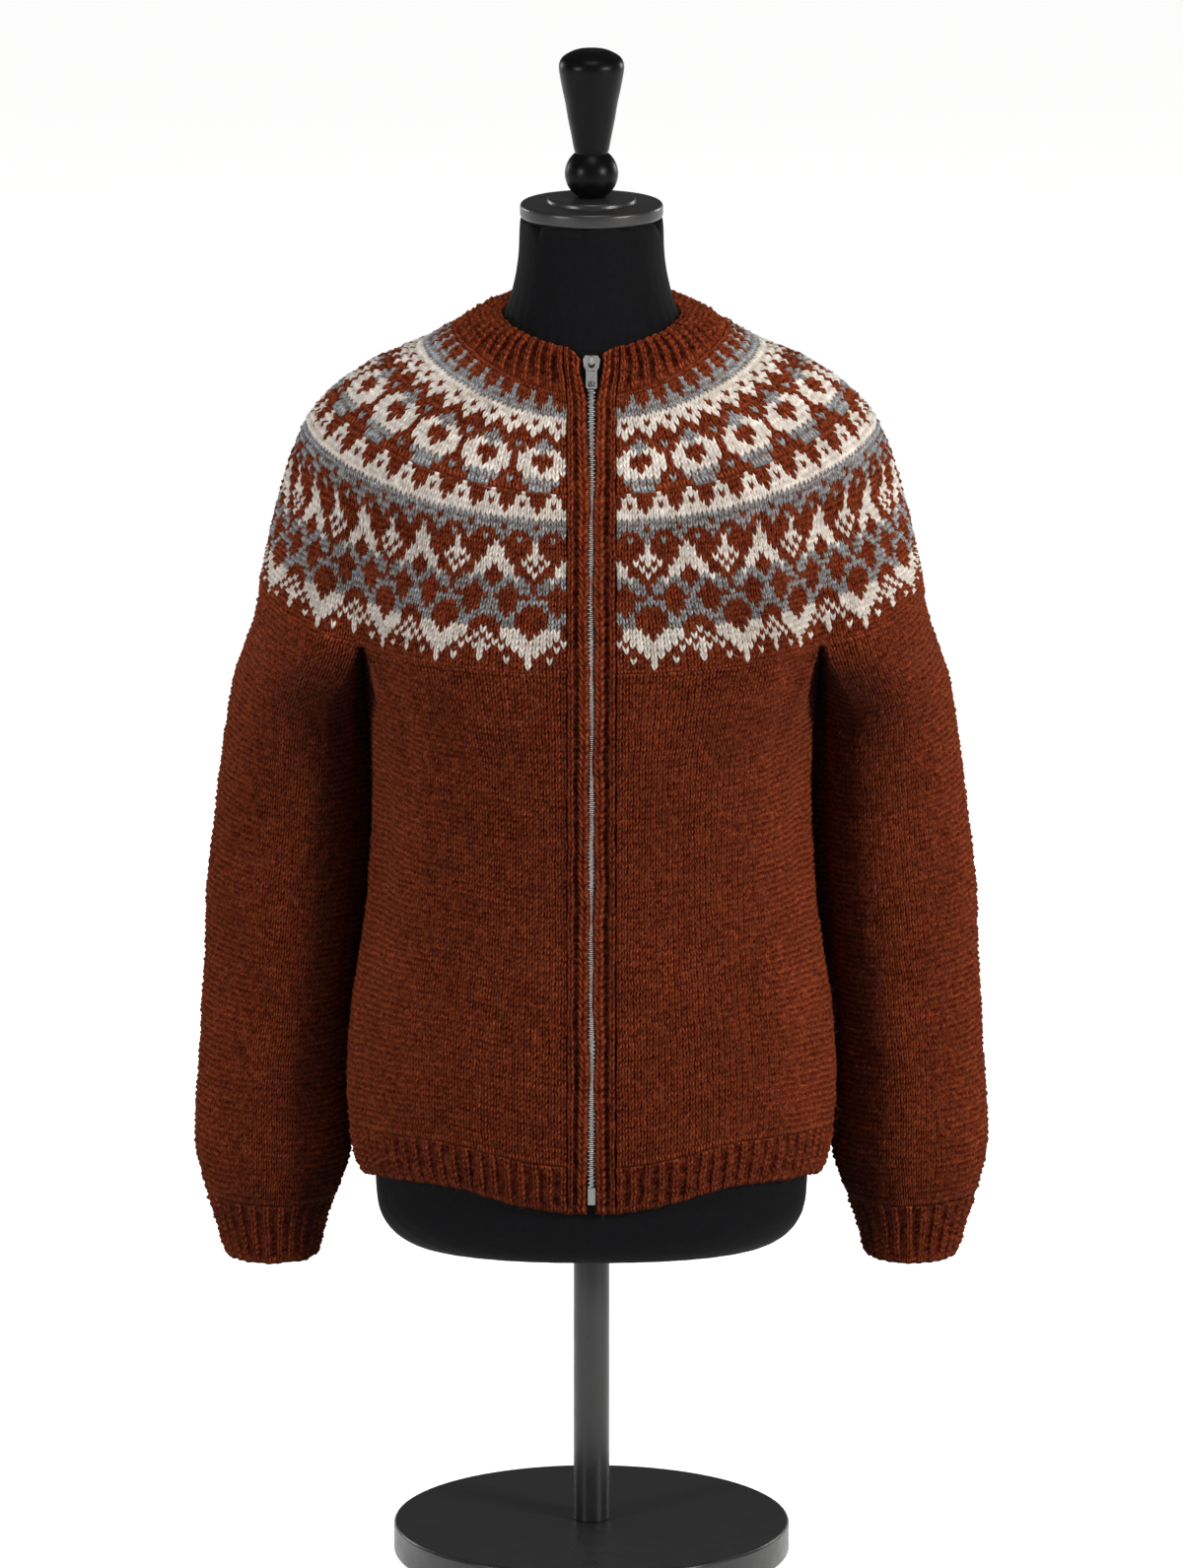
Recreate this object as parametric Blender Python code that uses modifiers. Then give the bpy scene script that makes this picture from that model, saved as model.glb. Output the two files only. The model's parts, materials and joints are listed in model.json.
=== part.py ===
# Knitted zip cardigan with a round patterned yoke, on a limbless dress form and its stand.
# Metres, +Z up, front towards -Y. The origin is the middle of the base's underside.

import math

import bpy
import bmesh
import numpy as np
from mathutils import Matrix

# ---- driving dimensions ----

wall = 0.003             # thickness of the knit
seam = 0.0003            # gap between neighbouring pieces
fit_gap = 0.0005         # between the form's shoulders and the knit that rests on them

base_radius = 0.145
base_height = 0.024
pole_radius = 0.01315
form_bottom = 0.236
form_corner = 0.036      # rounding of the form's lower edge
neck_top = 0.995

rib_relief = 0.0012      # how far a rib stands above its groove
neck_ribs = 26           # ribs in half the neckband
hem_ribs = 44            # ribs in half the hem
cuff_ribs = 26           # ribs round a cuff

band_inner = 0.0034      # a front band's edge at the zip, from the middle
band_outer = 0.0173      # its other edge
band_depth = 0.0019
neck_spread = 0.0048     # how far the bands part round the slider
tape_depth = 0.0007
tape_width = 0.011
tape_show = 0.0001       # how far a tape's edge shows past its band
chain_half = 0.0026

crease_x = 0.165         # where sleeve and body part, in the width
crease_width = 0.022
underarm_dip = 0.006

# ---- tables of sections ----

# Yoke and neckband, from the neck down: where a knitted course lies at the front, side and back.
yoke_columns = ("front", "front_z", "side", "side_z", "back", "back_z", "square", "dent")
yoke_table = (
    (0.0600, 0.9107, 0.0635, 0.9245, 0.0600, 0.9420, 2.00, 0.0000),
    (0.0830, 0.8815, 0.0972, 0.9159, 0.0800, 0.9230, 2.00, 0.0000),
    (0.0950, 0.8645, 0.1237, 0.9015, 0.0920, 0.9080, 2.05, 0.0000),
    (0.1080, 0.8352, 0.1659, 0.8829, 0.1040, 0.8840, 2.10, 0.0000),
    (0.1180, 0.7993, 0.2038, 0.8484, 0.1130, 0.8500, 2.20, 0.0010),
    (0.1245, 0.7531, 0.2250, 0.7904, 0.1175, 0.7970, 2.30, 0.0060),
    (0.1280, 0.6872, 0.2388, 0.7280, 0.1190, 0.7350, 2.40, 0.0140),
)
neckband_rows = 2        # the table's rows that bound the neckband
rise_power = 1.8         # how a course climbs from its front to its side

# Body, by height at the side.
body_columns = ("height", "side", "front", "back", "square")
body_table = (
    (0.7030, 0.1640, 0.1280, 0.1180, 2.40),
    (0.6620, 0.1630, 0.1270, 0.1130, 2.40),
    (0.6100, 0.1600, 0.1240, 0.1100, 2.35),
    (0.5680, 0.1590, 0.1210, 0.1070, 2.35),
    (0.4880, 0.1630, 0.1190, 0.1080, 2.35),
    (0.4440, 0.1690, 0.1200, 0.1110, 2.35),
    (0.4000, 0.1750, 0.1210, 0.1150, 2.35),
    (0.3490, 0.1770, 0.1200, 0.1160, 2.35),
    (0.3140, 0.1740, 0.1170, 0.1140, 2.35),
    (0.2906, 0.1690, 0.1130, 0.1110, 2.35),
    (0.2830, 0.1650, 0.1110, 0.1090, 2.35),
)
# Lower edge of the hem, from the front edge round to the middle of the back.
hem_stations = (0.00, 0.06, 0.22, 0.36, 0.50, 0.70, 1.00)
hem_heights = (0.2835, 0.2870, 0.3000, 0.2960, 0.2870, 0.2910, 0.2930)
hem_rib_height = 0.036

# Sleeve, by height: its edges across the width, half its depth and its middle in depth.
sleeve_columns = ("height", "inner", "outer", "depth", "middle")
sleeve_table = (
    (0.7030, 0.1660, 0.2400, 0.0880, 0.0000),
    (0.6580, 0.1630, 0.2530, 0.0730, 0.0200),
    (0.5970, 0.1590, 0.2645, 0.0620, 0.0300),
    (0.5380, 0.1590, 0.2725, 0.0580, 0.0330),
    (0.4790, 0.1635, 0.2785, 0.0560, 0.0340),
    (0.4230, 0.1710, 0.2820, 0.0545, 0.0340),
    (0.3470, 0.1765, 0.2885, 0.0530, 0.0330),
    (0.3030, 0.1765, 0.2890, 0.0515, 0.0320),
    (0.2730, 0.1840, 0.2840, 0.0475, 0.0310),
    (0.2635, 0.1885, 0.2805, 0.0440, 0.0305),
    (0.2445, 0.1955, 0.2740, 0.0380, 0.0300),
    (0.2180, 0.2015, 0.2665, 0.0330, 0.0300),
)
cuff_height = 0.0455

# Folds, as rows of around (place round the ring), down, wide, tall, depth (outward), slant.
body_folds = (
    (0.285, 0.12, 0.030, 0.16, -0.0035, 0.00),
    (0.235, 0.30, 0.040, 0.20, 0.0015, 0.02),
    (0.140, 0.55, 0.050, 0.22, -0.0016, -0.04),
    (0.360, 0.70, 0.050, 0.14, -0.0018, 0.03),
    (0.700, 0.12, 0.040, 0.18, -0.0040, 0.02),
    (0.800, 0.45, 0.050, 0.20, -0.0030, 0.05),
    (0.930, 0.62, 0.040, 0.16, 0.0018, -0.03),
)
sleeve_folds = (
    (0.300, 0.30, 0.060, 0.09, -0.0030, 0.20),
    (0.430, 0.44, 0.090, 0.07, 0.0022, 0.25),
    (0.330, 0.56, 0.080, 0.06, -0.0028, -0.30),
    (0.520, 0.70, 0.090, 0.06, -0.0024, 0.20),
    (0.380, 0.82, 0.070, 0.05, 0.0024, -0.10),
    (0.640, 0.40, 0.080, 0.08, -0.0030, -0.20),
    (0.720, 0.62, 0.070, 0.07, -0.0026, 0.20),
    (0.620, 0.84, 0.070, 0.05, 0.0020, 0.10),
)

# Dress form below its shoulders, by height.
form_columns = ("height", "side", "front", "back", "square")
form_table = (
    (0.6500, 0.1510, 0.1150, 0.1020, 2.30),
    (0.6000, 0.1460, 0.1080, 0.0970, 2.30),
    (0.5500, 0.1430, 0.1030, 0.0930, 2.30),
    (0.5000, 0.1460, 0.1020, 0.0950, 2.30),
    (0.4500, 0.1520, 0.1040, 0.0990, 2.30),
    (0.4000, 0.1570, 0.1060, 0.1030, 2.30),
    (0.3500, 0.1590, 0.1070, 0.1050, 2.30),
    (0.3000, 0.1585, 0.1050, 0.1030, 2.30),
    (0.2720, 0.1580, 0.1040, 0.1020, 2.30),
)
neck_table = (            # height, radius
    (0.9950, 0.0520),
    (0.9750, 0.0522),
    (0.9580, 0.0535),
)
shoulder_limit = 0.157   # half the form's width at its arm plates


# ---- the scene ----

for old in list(bpy.data.objects):
    bpy.data.objects.remove(old, do_unlink=True)

parts = bpy.data.collections.new("zip_cardigan_on_form")
bpy.context.scene.collection.children.link(parts)


def material(name, colour, roughness, metallic=0.0):
    made = bpy.data.materials.new(name)
    made.use_nodes = True
    shader = made.node_tree.nodes["Principled BSDF"]
    shader.inputs["Base Color"].default_value = (*colour, 1.0)
    shader.inputs["Roughness"].default_value = roughness
    shader.inputs["Metallic"].default_value = metallic
    made.diffuse_color = (*colour, 1.0)
    return made


rust_wool = material("rust_wool", (0.19, 0.045, 0.018), 0.95)
patterned_wool = material("patterned_wool", (0.30, 0.20, 0.16), 0.95)
zip_cloth = material("zip_cloth", (0.16, 0.05, 0.03), 0.9)
zip_metal = material("zip_metal", (0.62, 0.62, 0.60), 0.35, 1.0)
form_cloth = material("form_cloth", (0.008, 0.008, 0.009), 0.85)
black_paint = material("black_paint", (0.012, 0.012, 0.013), 0.3)


def add_object(name, mesh, look):
    made = bpy.data.objects.new(name, mesh)
    made.data.materials.append(look)
    parts.objects.link(made)
    return made


# ---- sections worked out from the tables ----

def column(table, columns, name):
    return np.array([row[columns.index(name)] for row in table])


def smooth(stations, values, where):
    # Monotone cubic through the stations, which rise.
    stations = np.asarray(stations, float)
    values = np.asarray(values, float)
    step = np.diff(stations)
    slope = np.diff(values) / step
    same = slope[:-1] * slope[1:] > 0
    total = np.where(same, slope[:-1] + slope[1:], 1.0)
    tangent = np.concatenate((
        slope[:1],
        np.where(same, 2 * slope[:-1] * slope[1:] / total, 0.0),
        slope[-1:],
    ))
    i = np.clip(np.searchsorted(stations, where) - 1, 0, len(step) - 1)
    u = np.clip((where - stations[i]) / step[i], 0.0, 1.0)
    rest = 1 - u
    return (
        values[i] * (1 + 2 * u) * rest ** 2
        + values[i + 1] * u ** 2 * (3 - 2 * u)
        + step[i] * tangent[i] * u * rest ** 2
        - step[i] * tangent[i + 1] * u ** 2 * rest
    )


def ease(start, end, where):
    u = np.clip((where - start) / (end - start), 0.0, 1.0)
    return u * u * (3 - 2 * u)


yoke = {name: column(yoke_table, yoke_columns, name) for name in yoke_columns}
yoke_down = np.concatenate((
    [0.0],
    np.cumsum(np.hypot(np.diff(yoke["front"]), np.diff(yoke["front_z"]))),
))                        # metres down the middle of the front
neckband_end = yoke_down[neckband_rows - 1]
yoke_end = yoke_down[-1]
underarm_z = body_table[0][0]
hem_z = body_table[-1][0]
body_length = yoke["front_z"][-1] - hem_heights[0]
front_length = yoke_end + body_length


def half_oval(side, front, back, square, count=420):
    # From the middle of the front round +X to the middle of the back.
    turn = np.linspace(0.0, math.pi, count)
    x = side * np.sin(turn) ** (2 / square)
    lean = -np.cos(turn)
    reach = np.abs(lean) ** (2 / square)
    y = np.where(lean < 0, -front, back) * reach
    return x, y, lean, reach


def yoke_course(down):
    p = {name: smooth(yoke_down, yoke[name], down) for name in yoke_columns}
    x, y, lean, reach = half_oval(p["side"], p["front"], p["back"], p["square"])
    near = np.exp(-((x - crease_x) / crease_width) ** 2)
    y = y - np.sign(lean) * p["dent"] * near
    end_z = np.where(lean < 0, p["front_z"], p["back_z"])
    z = p["side_z"] + (end_z - p["side_z"]) * reach ** rise_power
    return np.stack((x, y, z), axis=1)


def lengths(points):
    return np.concatenate(([0.0], np.cumsum(np.linalg.norm(np.diff(points, axis=0), axis=1))))


def sample(points, places):
    run = lengths(points)
    return np.stack([np.interp(places, run, points[:, k]) for k in range(3)], axis=1)


def place_of_x(points, x):
    # Length along a half ring at which its front reaches a distance from the middle.
    turn = int(np.argmax(points[:, 0]))
    return np.interp(x, points[:turn, 0], lengths(points)[:turn])


def spread_at(down):
    return 1 - ease(0.010, 0.045, down)


def inner_edge(down):
    return band_inner + neck_spread * spread_at(down)


def outer_edge(down):
    return band_outer + 0.55 * neck_spread * spread_at(down)


def between(points, start, fractions):
    end = lengths(points)[-1]
    return sample(points, start + np.asarray(fractions) * (end - start))


def yoke_row(down, fractions):
    points = yoke_course(down)
    return between(points, place_of_x(points, outer_edge(down) + seam), fractions)


last_course = yoke_course(yoke_end)
last_start = place_of_x(last_course, outer_edge(yoke_end) + seam)
last_length = lengths(last_course)[-1]
side_index = int(np.argmax(last_course[:, 0]))
crease_front_place = np.interp(crease_x, last_course[:side_index, 0],
                               lengths(last_course)[:side_index])
crease_back_place = np.interp(-crease_x, -last_course[side_index:, 0],
                              lengths(last_course)[side_index:])
crease_front = (crease_front_place - last_start) / (last_length - last_start)
crease_back = (crease_back_place - last_start) / (last_length - last_start)


def arc_of_last(start, end, count=120):
    return sample(last_course, np.linspace(start, end, count))


def underarm(count=60):
    # The straight run under the arm, shared by body and sleeve.
    front, back = arc_of_last(crease_front_place, crease_back_place, 2)
    u = np.linspace(0.0, 1.0, count)[:, None]
    points = front * (1 - u) + back * u
    dip = underarm_dip * np.sin(math.pi * u[:, 0]) ** 0.8
    points[:, 2] -= dip + (points[:, 2] - underarm_z) * np.sin(math.pi * u[:, 0]) * 0.6
    return points


body_top = np.concatenate((
    arc_of_last(0.0, crease_front_place),
    underarm()[1:-1] - np.array((seam / 2, 0.0, 0.0)),
    arc_of_last(crease_back_place, last_length),
))
body = {name: column(body_table, body_columns, name) for name in body_columns}
body_share = (underarm_z - body["height"]) / (underarm_z - hem_z)


def folded(row, share, fractions, folds):
    # Moves a row's points in or out, in plan, by the folds that cross it.
    if len(row) < 3:
        return row
    lift = np.zeros(len(row))
    for around, down, wide, tall, depth, slant in folds:
        off = (fractions - around - slant * (share - down)) / wide
        lift += depth * np.exp(-off ** 2 - ((share - down) / tall) ** 2)
    along = np.gradient(row[:, :2], axis=0)
    along /= np.linalg.norm(along, axis=1)[:, None]
    row[:, 0] += along[:, 1] * lift
    row[:, 1] -= along[:, 0] * lift
    return row


def body_row(share, fractions):
    # share is 0 under the yoke and 1 at the lower edge of the hem.
    p = {name: smooth(body_share, body[name], share) for name in body_columns}
    x, y, lean, reach = half_oval(p["side"], p["front"], p["back"], p["square"])
    oval = np.stack((x, y, np.zeros_like(x)), axis=1)
    edge = band_outer + seam
    top = between(body_top, place_of_x(body_top, edge), fractions)
    ring = between(oval, place_of_x(oval, edge), fractions)
    settled = ease(-0.04, 0.19, share)
    row = top * (1 - settled) + ring * settled
    if share <= 0:
        row = top.copy()
    hem = smooth(hem_stations, hem_heights, np.clip(fractions, 0.0, 1.0))
    row[:, 2] = top[:, 2] * (1 - share) + hem * share
    return folded(row, share, fractions, body_folds) if share > 0.02 else row


sleeve = {name: column(sleeve_table, sleeve_columns, name) for name in sleeve_columns}
sleeve_share = (sleeve["height"][0] - sleeve["height"]) / (
    sleeve["height"][0] - sleeve["height"][-1])
sleeve_arm = underarm()[1:-1] + np.array((seam / 2, 0.0, 0.0))
arm_middle = len(sleeve_arm) // 2
sleeve_top = np.concatenate((
    sleeve_arm[arm_middle::-1],
    arc_of_last(crease_front_place, crease_back_place, 160),
    sleeve_arm[:arm_middle - 1:-1],
))


def sleeve_row(share, fractions):
    # A closed ring from the middle of the underarm, by the front.
    p = {name: smooth(sleeve_share, sleeve[name], share) for name in sleeve_columns}
    centre = (p["inner"] + p["outer"]) / 2
    half = (p["outer"] - p["inner"]) / 2
    turn = np.linspace(0.0, 2 * math.pi, 360)
    oval = np.stack((
        centre - half * np.cos(turn),
        p["middle"] - p["depth"] * np.sin(turn),
        np.zeros_like(turn),
    ), axis=1)
    fractions = np.asarray(fractions) % 1.0
    top = sample(sleeve_top, fractions * lengths(sleeve_top)[-1])
    ring = sample(oval, fractions * lengths(oval)[-1])
    settled = ease(-0.04, 0.16, share)
    row = top * (1 - settled) + ring * settled
    if share <= 0:
        row = top.copy()
    row[:, 2] = top[:, 2] * (1 - share) + sleeve["height"][-1] * share
    return folded(row, share, fractions, sleeve_folds) if share > 0.02 else row


def normals_of(row, place, fractions, flat, low, high, closed=False):
    # Outward normals of a surface given by its rows; flat drops their vertical part.
    step = 0.006 * (high - low)
    above = row(max(place - step, low), fractions)
    below = row(min(place + step, high), fractions)
    fractions = np.asarray(fractions)
    ahead = fractions + 0.004
    behind = fractions - 0.004
    if not closed:
        ahead = np.minimum(ahead, 1.0)
        behind = np.maximum(behind, 0.0)
    across = row(place, ahead) - row(place, behind)
    normal = np.cross(below - above, across)
    if flat:
        across[:, 2] = 0
        normal = np.cross(np.array((0.0, 0.0, -1.0)), across)
    return normal / np.linalg.norm(normal, axis=1)[:, None]


# ---- solids from rows of points ----

def grid_faces(mesh, grid, closed, flip=False):
    rows = len(grid)
    columns = len(grid[0])
    span = columns if closed else columns - 1
    for r in range(rows - 1):
        for c in range(span):
            d = (c + 1) % columns
            corners = [grid[r][c], grid[r + 1][c], grid[r + 1][d], grid[r][d]]
            mesh.faces.new(corners[::-1] if flip else corners)


def wall_solid(name, outer, inner, closed, look):
    # A wall between two grids of points; open grids get end faces too.
    mesh = bmesh.new()
    out = [[mesh.verts.new(p) for p in row] for row in outer]
    back = [[mesh.verts.new(p) for p in row] for row in inner]
    grid_faces(mesh, out, closed)
    grid_faces(mesh, back, closed, flip=True)
    grid_faces(mesh, [back[0], out[0]], closed)
    grid_faces(mesh, [out[-1], back[-1]], closed)
    if not closed:
        grid_faces(mesh, [[row[0] for row in out], [row[0] for row in back]], False)
        grid_faces(mesh, [[row[-1] for row in back], [row[-1] for row in out]], False)
    return finish(name, mesh, look)


def swept_solid(name, rings, look):
    # Closed rings one after another, capped at both ends.
    mesh = bmesh.new()
    grid = [[mesh.verts.new(p) for p in ring] for ring in rings]
    grid_faces(mesh, grid, closed=True)
    mesh.faces.new(grid[0])
    mesh.faces.new(grid[-1][::-1])
    return finish(name, mesh, look)


def finish(name, mesh, look):
    bmesh.ops.recalc_face_normals(mesh, faces=mesh.faces)
    data = bpy.data.meshes.new(name)
    mesh.to_mesh(data)
    mesh.free()
    data.shade_smooth()
    data.set_sharp_from_angle(angle=math.radians(50))
    return add_object(name, data, look)


def mirrored(points):
    return points * np.array((-1.0, 1.0, 1.0))


def whole_row(half):
    return np.concatenate((half, mirrored(half)[-2::-1]))


def spread_over(values, coarse, fractions):
    # Rows of vectors known at coarse fractions, read straight between them.
    return np.stack([np.interp(fractions, coarse, values[:, k]) for k in range(3)], axis=1)


def trunk_wall(name, row, places, fractions, limits, look, relief=None, flat_at=(), match=None):
    # match names a place whose row keeps to a neighbour's coarser columns.
    outer = []
    inner = []
    for place in places:
        matched = match is not None and place == match[0]
        columns = match[1] if matched else fractions
        points = row(place, columns)
        normals = normals_of(row, place, columns, place in flat_at, *limits)
        normals[[0, -1], 0] = 0
        if matched:
            points = spread_over(points, columns, fractions)
            normals = spread_over(normals, columns, fractions)
        raised = points if relief is None else points + normals * relief[:, None]
        outer.append(whole_row(raised))
        inner.append(whole_row(points - normals * wall))
    return wall_solid(name, outer, inner, False, look)


# ---- cardigan ----

front_steps = 9          # columns from the zip to the crease of the sleeve
round_steps = 14         # round the sleeve's outside
rear_steps = 9
arm_steps = 3            # in half the underarm


def yoke_fractions():
    front = np.linspace(0.0, crease_front, front_steps + 1)
    arm = np.linspace(crease_front, crease_back, round_steps + 1)
    rear = np.linspace(crease_back, 1.0, rear_steps + 1)
    return np.concatenate((front, arm[1:], rear[1:]))


def body_fractions():
    run = lengths(body_top)
    start = place_of_x(body_top, band_outer + seam)
    total = run[-1] - start
    front = (crease_front_place - start) / total
    rear = 1 - (last_length - crease_back_place) / total
    return np.concatenate((
        np.linspace(0.0, front, front_steps + 1),
        np.linspace(front, rear, 2 * arm_steps + 1)[1:],
        np.linspace(rear, 1.0, rear_steps + 1)[1:],
    ))


def rib_fractions(ribs):
    fractions = np.linspace(0.0, 1.0, 2 * ribs + 1)
    relief = rib_relief * (np.arange(2 * ribs + 1) % 2)
    return fractions, relief


rib_share = hem_rib_height / body_length
body_limits = (0.0, 1.0)
yoke_limits = (0.0, yoke_end)


def make_neckband():
    fractions, relief = rib_fractions(neck_ribs)
    places = np.linspace(0.0, neckband_end - seam / 2, 3)
    trunk_wall("neckband", yoke_row, places, fractions, yoke_limits, rust_wool, relief,
               match=(places[-1], yoke_fractions()))


def make_yoke():
    places = np.linspace(neckband_end + seam / 2, yoke_end - seam / 2, 10)
    trunk_wall("yoke", yoke_row, places, yoke_fractions(), yoke_limits, patterned_wool,
               flat_at=(places[-1],))


def make_body():
    top = seam / 2 / body_length
    end = 1 - rib_share - top
    places = np.concatenate((
        np.linspace(top, 0.22, 5),
        np.linspace(0.22, end, 7)[1:],
    ))
    trunk_wall("body", body_row, places, body_fractions(), body_limits, rust_wool,
               flat_at=(places[0],))


def make_hem():
    fractions, relief = rib_fractions(hem_ribs)
    start = 1 - rib_share + seam / 2 / body_length
    places = np.array((start, 1.0))
    trunk_wall("hem_rib", body_row, places, fractions, body_limits, rust_wool, relief,
               match=(places[0], body_fractions()))


cuff_share = cuff_height / (sleeve["height"][0] - sleeve["height"][-1])


def tube_wall(name, side, places, fractions, look, relief, flat_at=(), match=None):
    outer = []
    inner = []
    for place in places:
        matched = match is not None and place == match[0]
        columns = match[1] if matched else fractions
        points = sleeve_row(place, columns)
        normals = normals_of(sleeve_row, place, columns, place in flat_at, 0.0, 1.0, True)
        if matched:
            columns = np.append(columns, 1.0)
            points = spread_over(np.append(points, points[:1], axis=0), columns, fractions)
            normals = spread_over(np.append(normals, normals[:1], axis=0), columns, fractions)
        raised = points + normals * relief[:, None]
        within = points - normals * wall
        outer.append(raised if side > 0 else mirrored(raised))
        inner.append(within if side > 0 else mirrored(within))
    return wall_solid(name, outer, inner, True, look)


def sleeve_fractions():
    run = lengths(sleeve_top)
    under = run[arm_middle + 1] / run[-1]
    return np.concatenate((
        np.linspace(0.0, under, arm_steps + 1)[:-1],
        np.linspace(under, 1 - under, round_steps + 1)[:-1],
        np.linspace(1 - under, 1.0, arm_steps + 1)[:-1],
    ))


def make_sleeve(side, label):
    run = sleeve["height"][0] - sleeve["height"][-1]
    top = seam / 2 / run
    wide = sleeve_fractions()
    places = np.concatenate((
        np.linspace(top, 0.20, 5),
        np.linspace(0.20, 1 - cuff_share - top, 9)[1:],
    ))
    tube_wall("sleeve_" + label, side, places, wide, rust_wool, np.zeros(len(wide)),
              flat_at=(places[0],))
    fractions = np.arange(2 * cuff_ribs) / (2 * cuff_ribs)
    relief = rib_relief * (np.arange(2 * cuff_ribs) % 2)
    places = np.array((1 - cuff_share + top, 1.0))
    tube_wall("cuff_" + label, side, places, fractions, rust_wool, relief,
              match=(places[0], wide))


# ---- front edge: bands and zip ----

def front_point(down, x):
    # A point of the garment's outer surface beside the zip.
    if down <= yoke_end:
        points = yoke_course(down)
        turn = int(np.argmax(points[:, 0]))
        return np.array((x, *(np.interp(x, points[:turn, 0], points[:turn, k]) for k in (1, 2))))
    share = min((down - yoke_end) / body_length, 1.0)
    edge = band_outer + seam
    point = body_row(share, np.array((0.0,)))[0]
    middle = smooth(body_share, body["front"], share)
    settled = ease(-0.04, 0.19, share)
    middle = yoke["front"][-1] * (1 - settled) + middle * settled
    u = (x / edge) ** 2
    return np.array((x, -middle * (1 - u) + point[1] * u, point[2]))


def front_frame(down):
    # Direction down the zip and outward normal, in the plane of symmetry.
    step = 0.004
    above = front_point(max(down - step, 0.0), 0.0)
    below = front_point(min(down + step, front_length), 0.0)
    along = (below - above) / np.linalg.norm(below - above)
    return along, np.cross(along, np.array((1.0, 0.0, 0.0)))


def strip(name, side, profile_at, places, look):
    # profile_at gives (x, depth outward) pairs round the strip's section.
    rings = []
    for down in places:
        normal = front_frame(down)[1]
        ring = [front_point(down, x) + normal * out for x, out in profile_at(down)]
        ring = np.array(ring)
        rings.append(ring if side > 0 else mirrored(ring))
    return swept_solid(name, rings, look)


def band_profile(down):
    start = inner_edge(down)
    width = outer_edge(down) - start
    shape = ((0.00, 0.0002), (0.16, 0.0010), (0.40, 0.0001), (0.66, 0.0011), (1.00, 0.0000))
    outside = [(start + share * width, out) for share, out in shape]
    return outside + [(start + width, -band_depth), (start, -band_depth)]


def tape_profile(down):
    start = inner_edge(down) - tape_show
    top = -band_depth - seam
    return [(start, top), (start + tape_width, top),
            (start + tape_width, top - tape_depth), (start, top - tape_depth)]


def chain_profile(down):
    return [(-chain_half, -0.0009), (chain_half, -0.0009),
            (chain_half, -0.0028), (-chain_half, -0.0028)]


slider_place = 0.0118    # middle of the slider, down the front
slider_length = 0.0120
slider_width = 0.0126
slider_under = -0.0034
slider_face = 0.0010
box_length = 0.0140
box_width = 0.0060
box_rise = 0.0070        # its lower end above the bands' lower corners


def front_places(start, end, count):
    # Closer together round the neck, where the bands part and the chest curves.
    u = np.linspace(0.0, 1.0, count)
    return start + (end - start) * (0.55 * u + 0.45 * u * u)


def make_front_edge(side, label):
    end = front_length
    strip("front_band_" + label, side, band_profile, front_places(0.0, end, 26), rust_wool)
    strip("zip_tape_" + label, side, tape_profile, front_places(0.002, end - 0.002, 26), zip_cloth)


def make_chain():
    start = slider_place + slider_length / 2 + seam
    end = front_length - box_rise - box_length - seam
    strip("zip_chain", 1, chain_profile, front_places(start, end, 26), zip_metal)


def front_matrix(down):
    # Local X across, Y up along the zip, Z outward.
    along, normal = front_frame(down)
    place = front_point(down, 0.0)
    frame = Matrix((
        (1.0, -along[0], normal[0], place[0]),
        (0.0, -along[1], normal[1], place[1]),
        (0.0, -along[2], normal[2], place[2]),
        (0.0, 0.0, 0.0, 1.0),
    ))
    return frame


def plate(name, outlines, low, high):
    # A flat outline with holes, extruded from low to high along local Z.
    curve = bpy.data.curves.new(name, "CURVE")
    curve.dimensions = "2D"
    curve.fill_mode = "BOTH"
    curve.extrude = (high - low) / 2
    for outline in outlines:
        spline = curve.splines.new("POLY")
        spline.points.add(len(outline) - 1)
        for point, (x, y) in zip(spline.points, outline):
            point.co = (x, y, 0.0, 1.0)
        spline.use_cyclic_u = True
    made = bpy.data.objects.new(name, curve)
    made.location = (0.0, 0.0, (low + high) / 2)
    return made


def as_mesh(source, name):
    # The curve's evaluated mesh, welded, in its own place.
    parts.objects.link(source)
    bpy.context.view_layer.update()
    graph = bpy.context.evaluated_depsgraph_get()
    data = bpy.data.meshes.new_from_object(source.evaluated_get(graph))
    data.transform(source.matrix_world)
    mesh = bmesh.new()
    mesh.from_mesh(data)
    bmesh.ops.remove_doubles(mesh, verts=mesh.verts, dist=1e-6)
    bmesh.ops.recalc_face_normals(mesh, faces=mesh.faces)
    mesh.to_mesh(data)
    mesh.free()
    data.name = name
    bpy.data.objects.remove(source, do_unlink=True)
    return data


def rounded(width, length, corner, centre=(0.0, 0.0), steps=3):
    # A rectangle with round corners, anticlockwise.
    points = []
    for k, (sx, sy) in enumerate(((1, 1), (-1, 1), (-1, -1), (1, -1))):
        for j in range(steps + 1):
            angle = math.pi / 2 * (k + j / steps)
            x = centre[0] + sx * (width / 2 - corner) + corner * math.cos(angle)
            y = centre[1] + sy * (length / 2 - corner) + corner * math.sin(angle)
            points.append((x, y))
    return points


# The bail is an arch on the slider that the pull's upper bar hangs in.
bail_width = 0.0030
bail_reach = 0.0034      # above the slider's face
bail_bar = 0.0011
bail_top = 0.0046        # up the zip from the slider's middle
bail_low = -0.0030
pin_y = -0.0009          # the pull's axis, up the zip from the slider's middle
pin_z = slider_face + 0.0013


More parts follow.
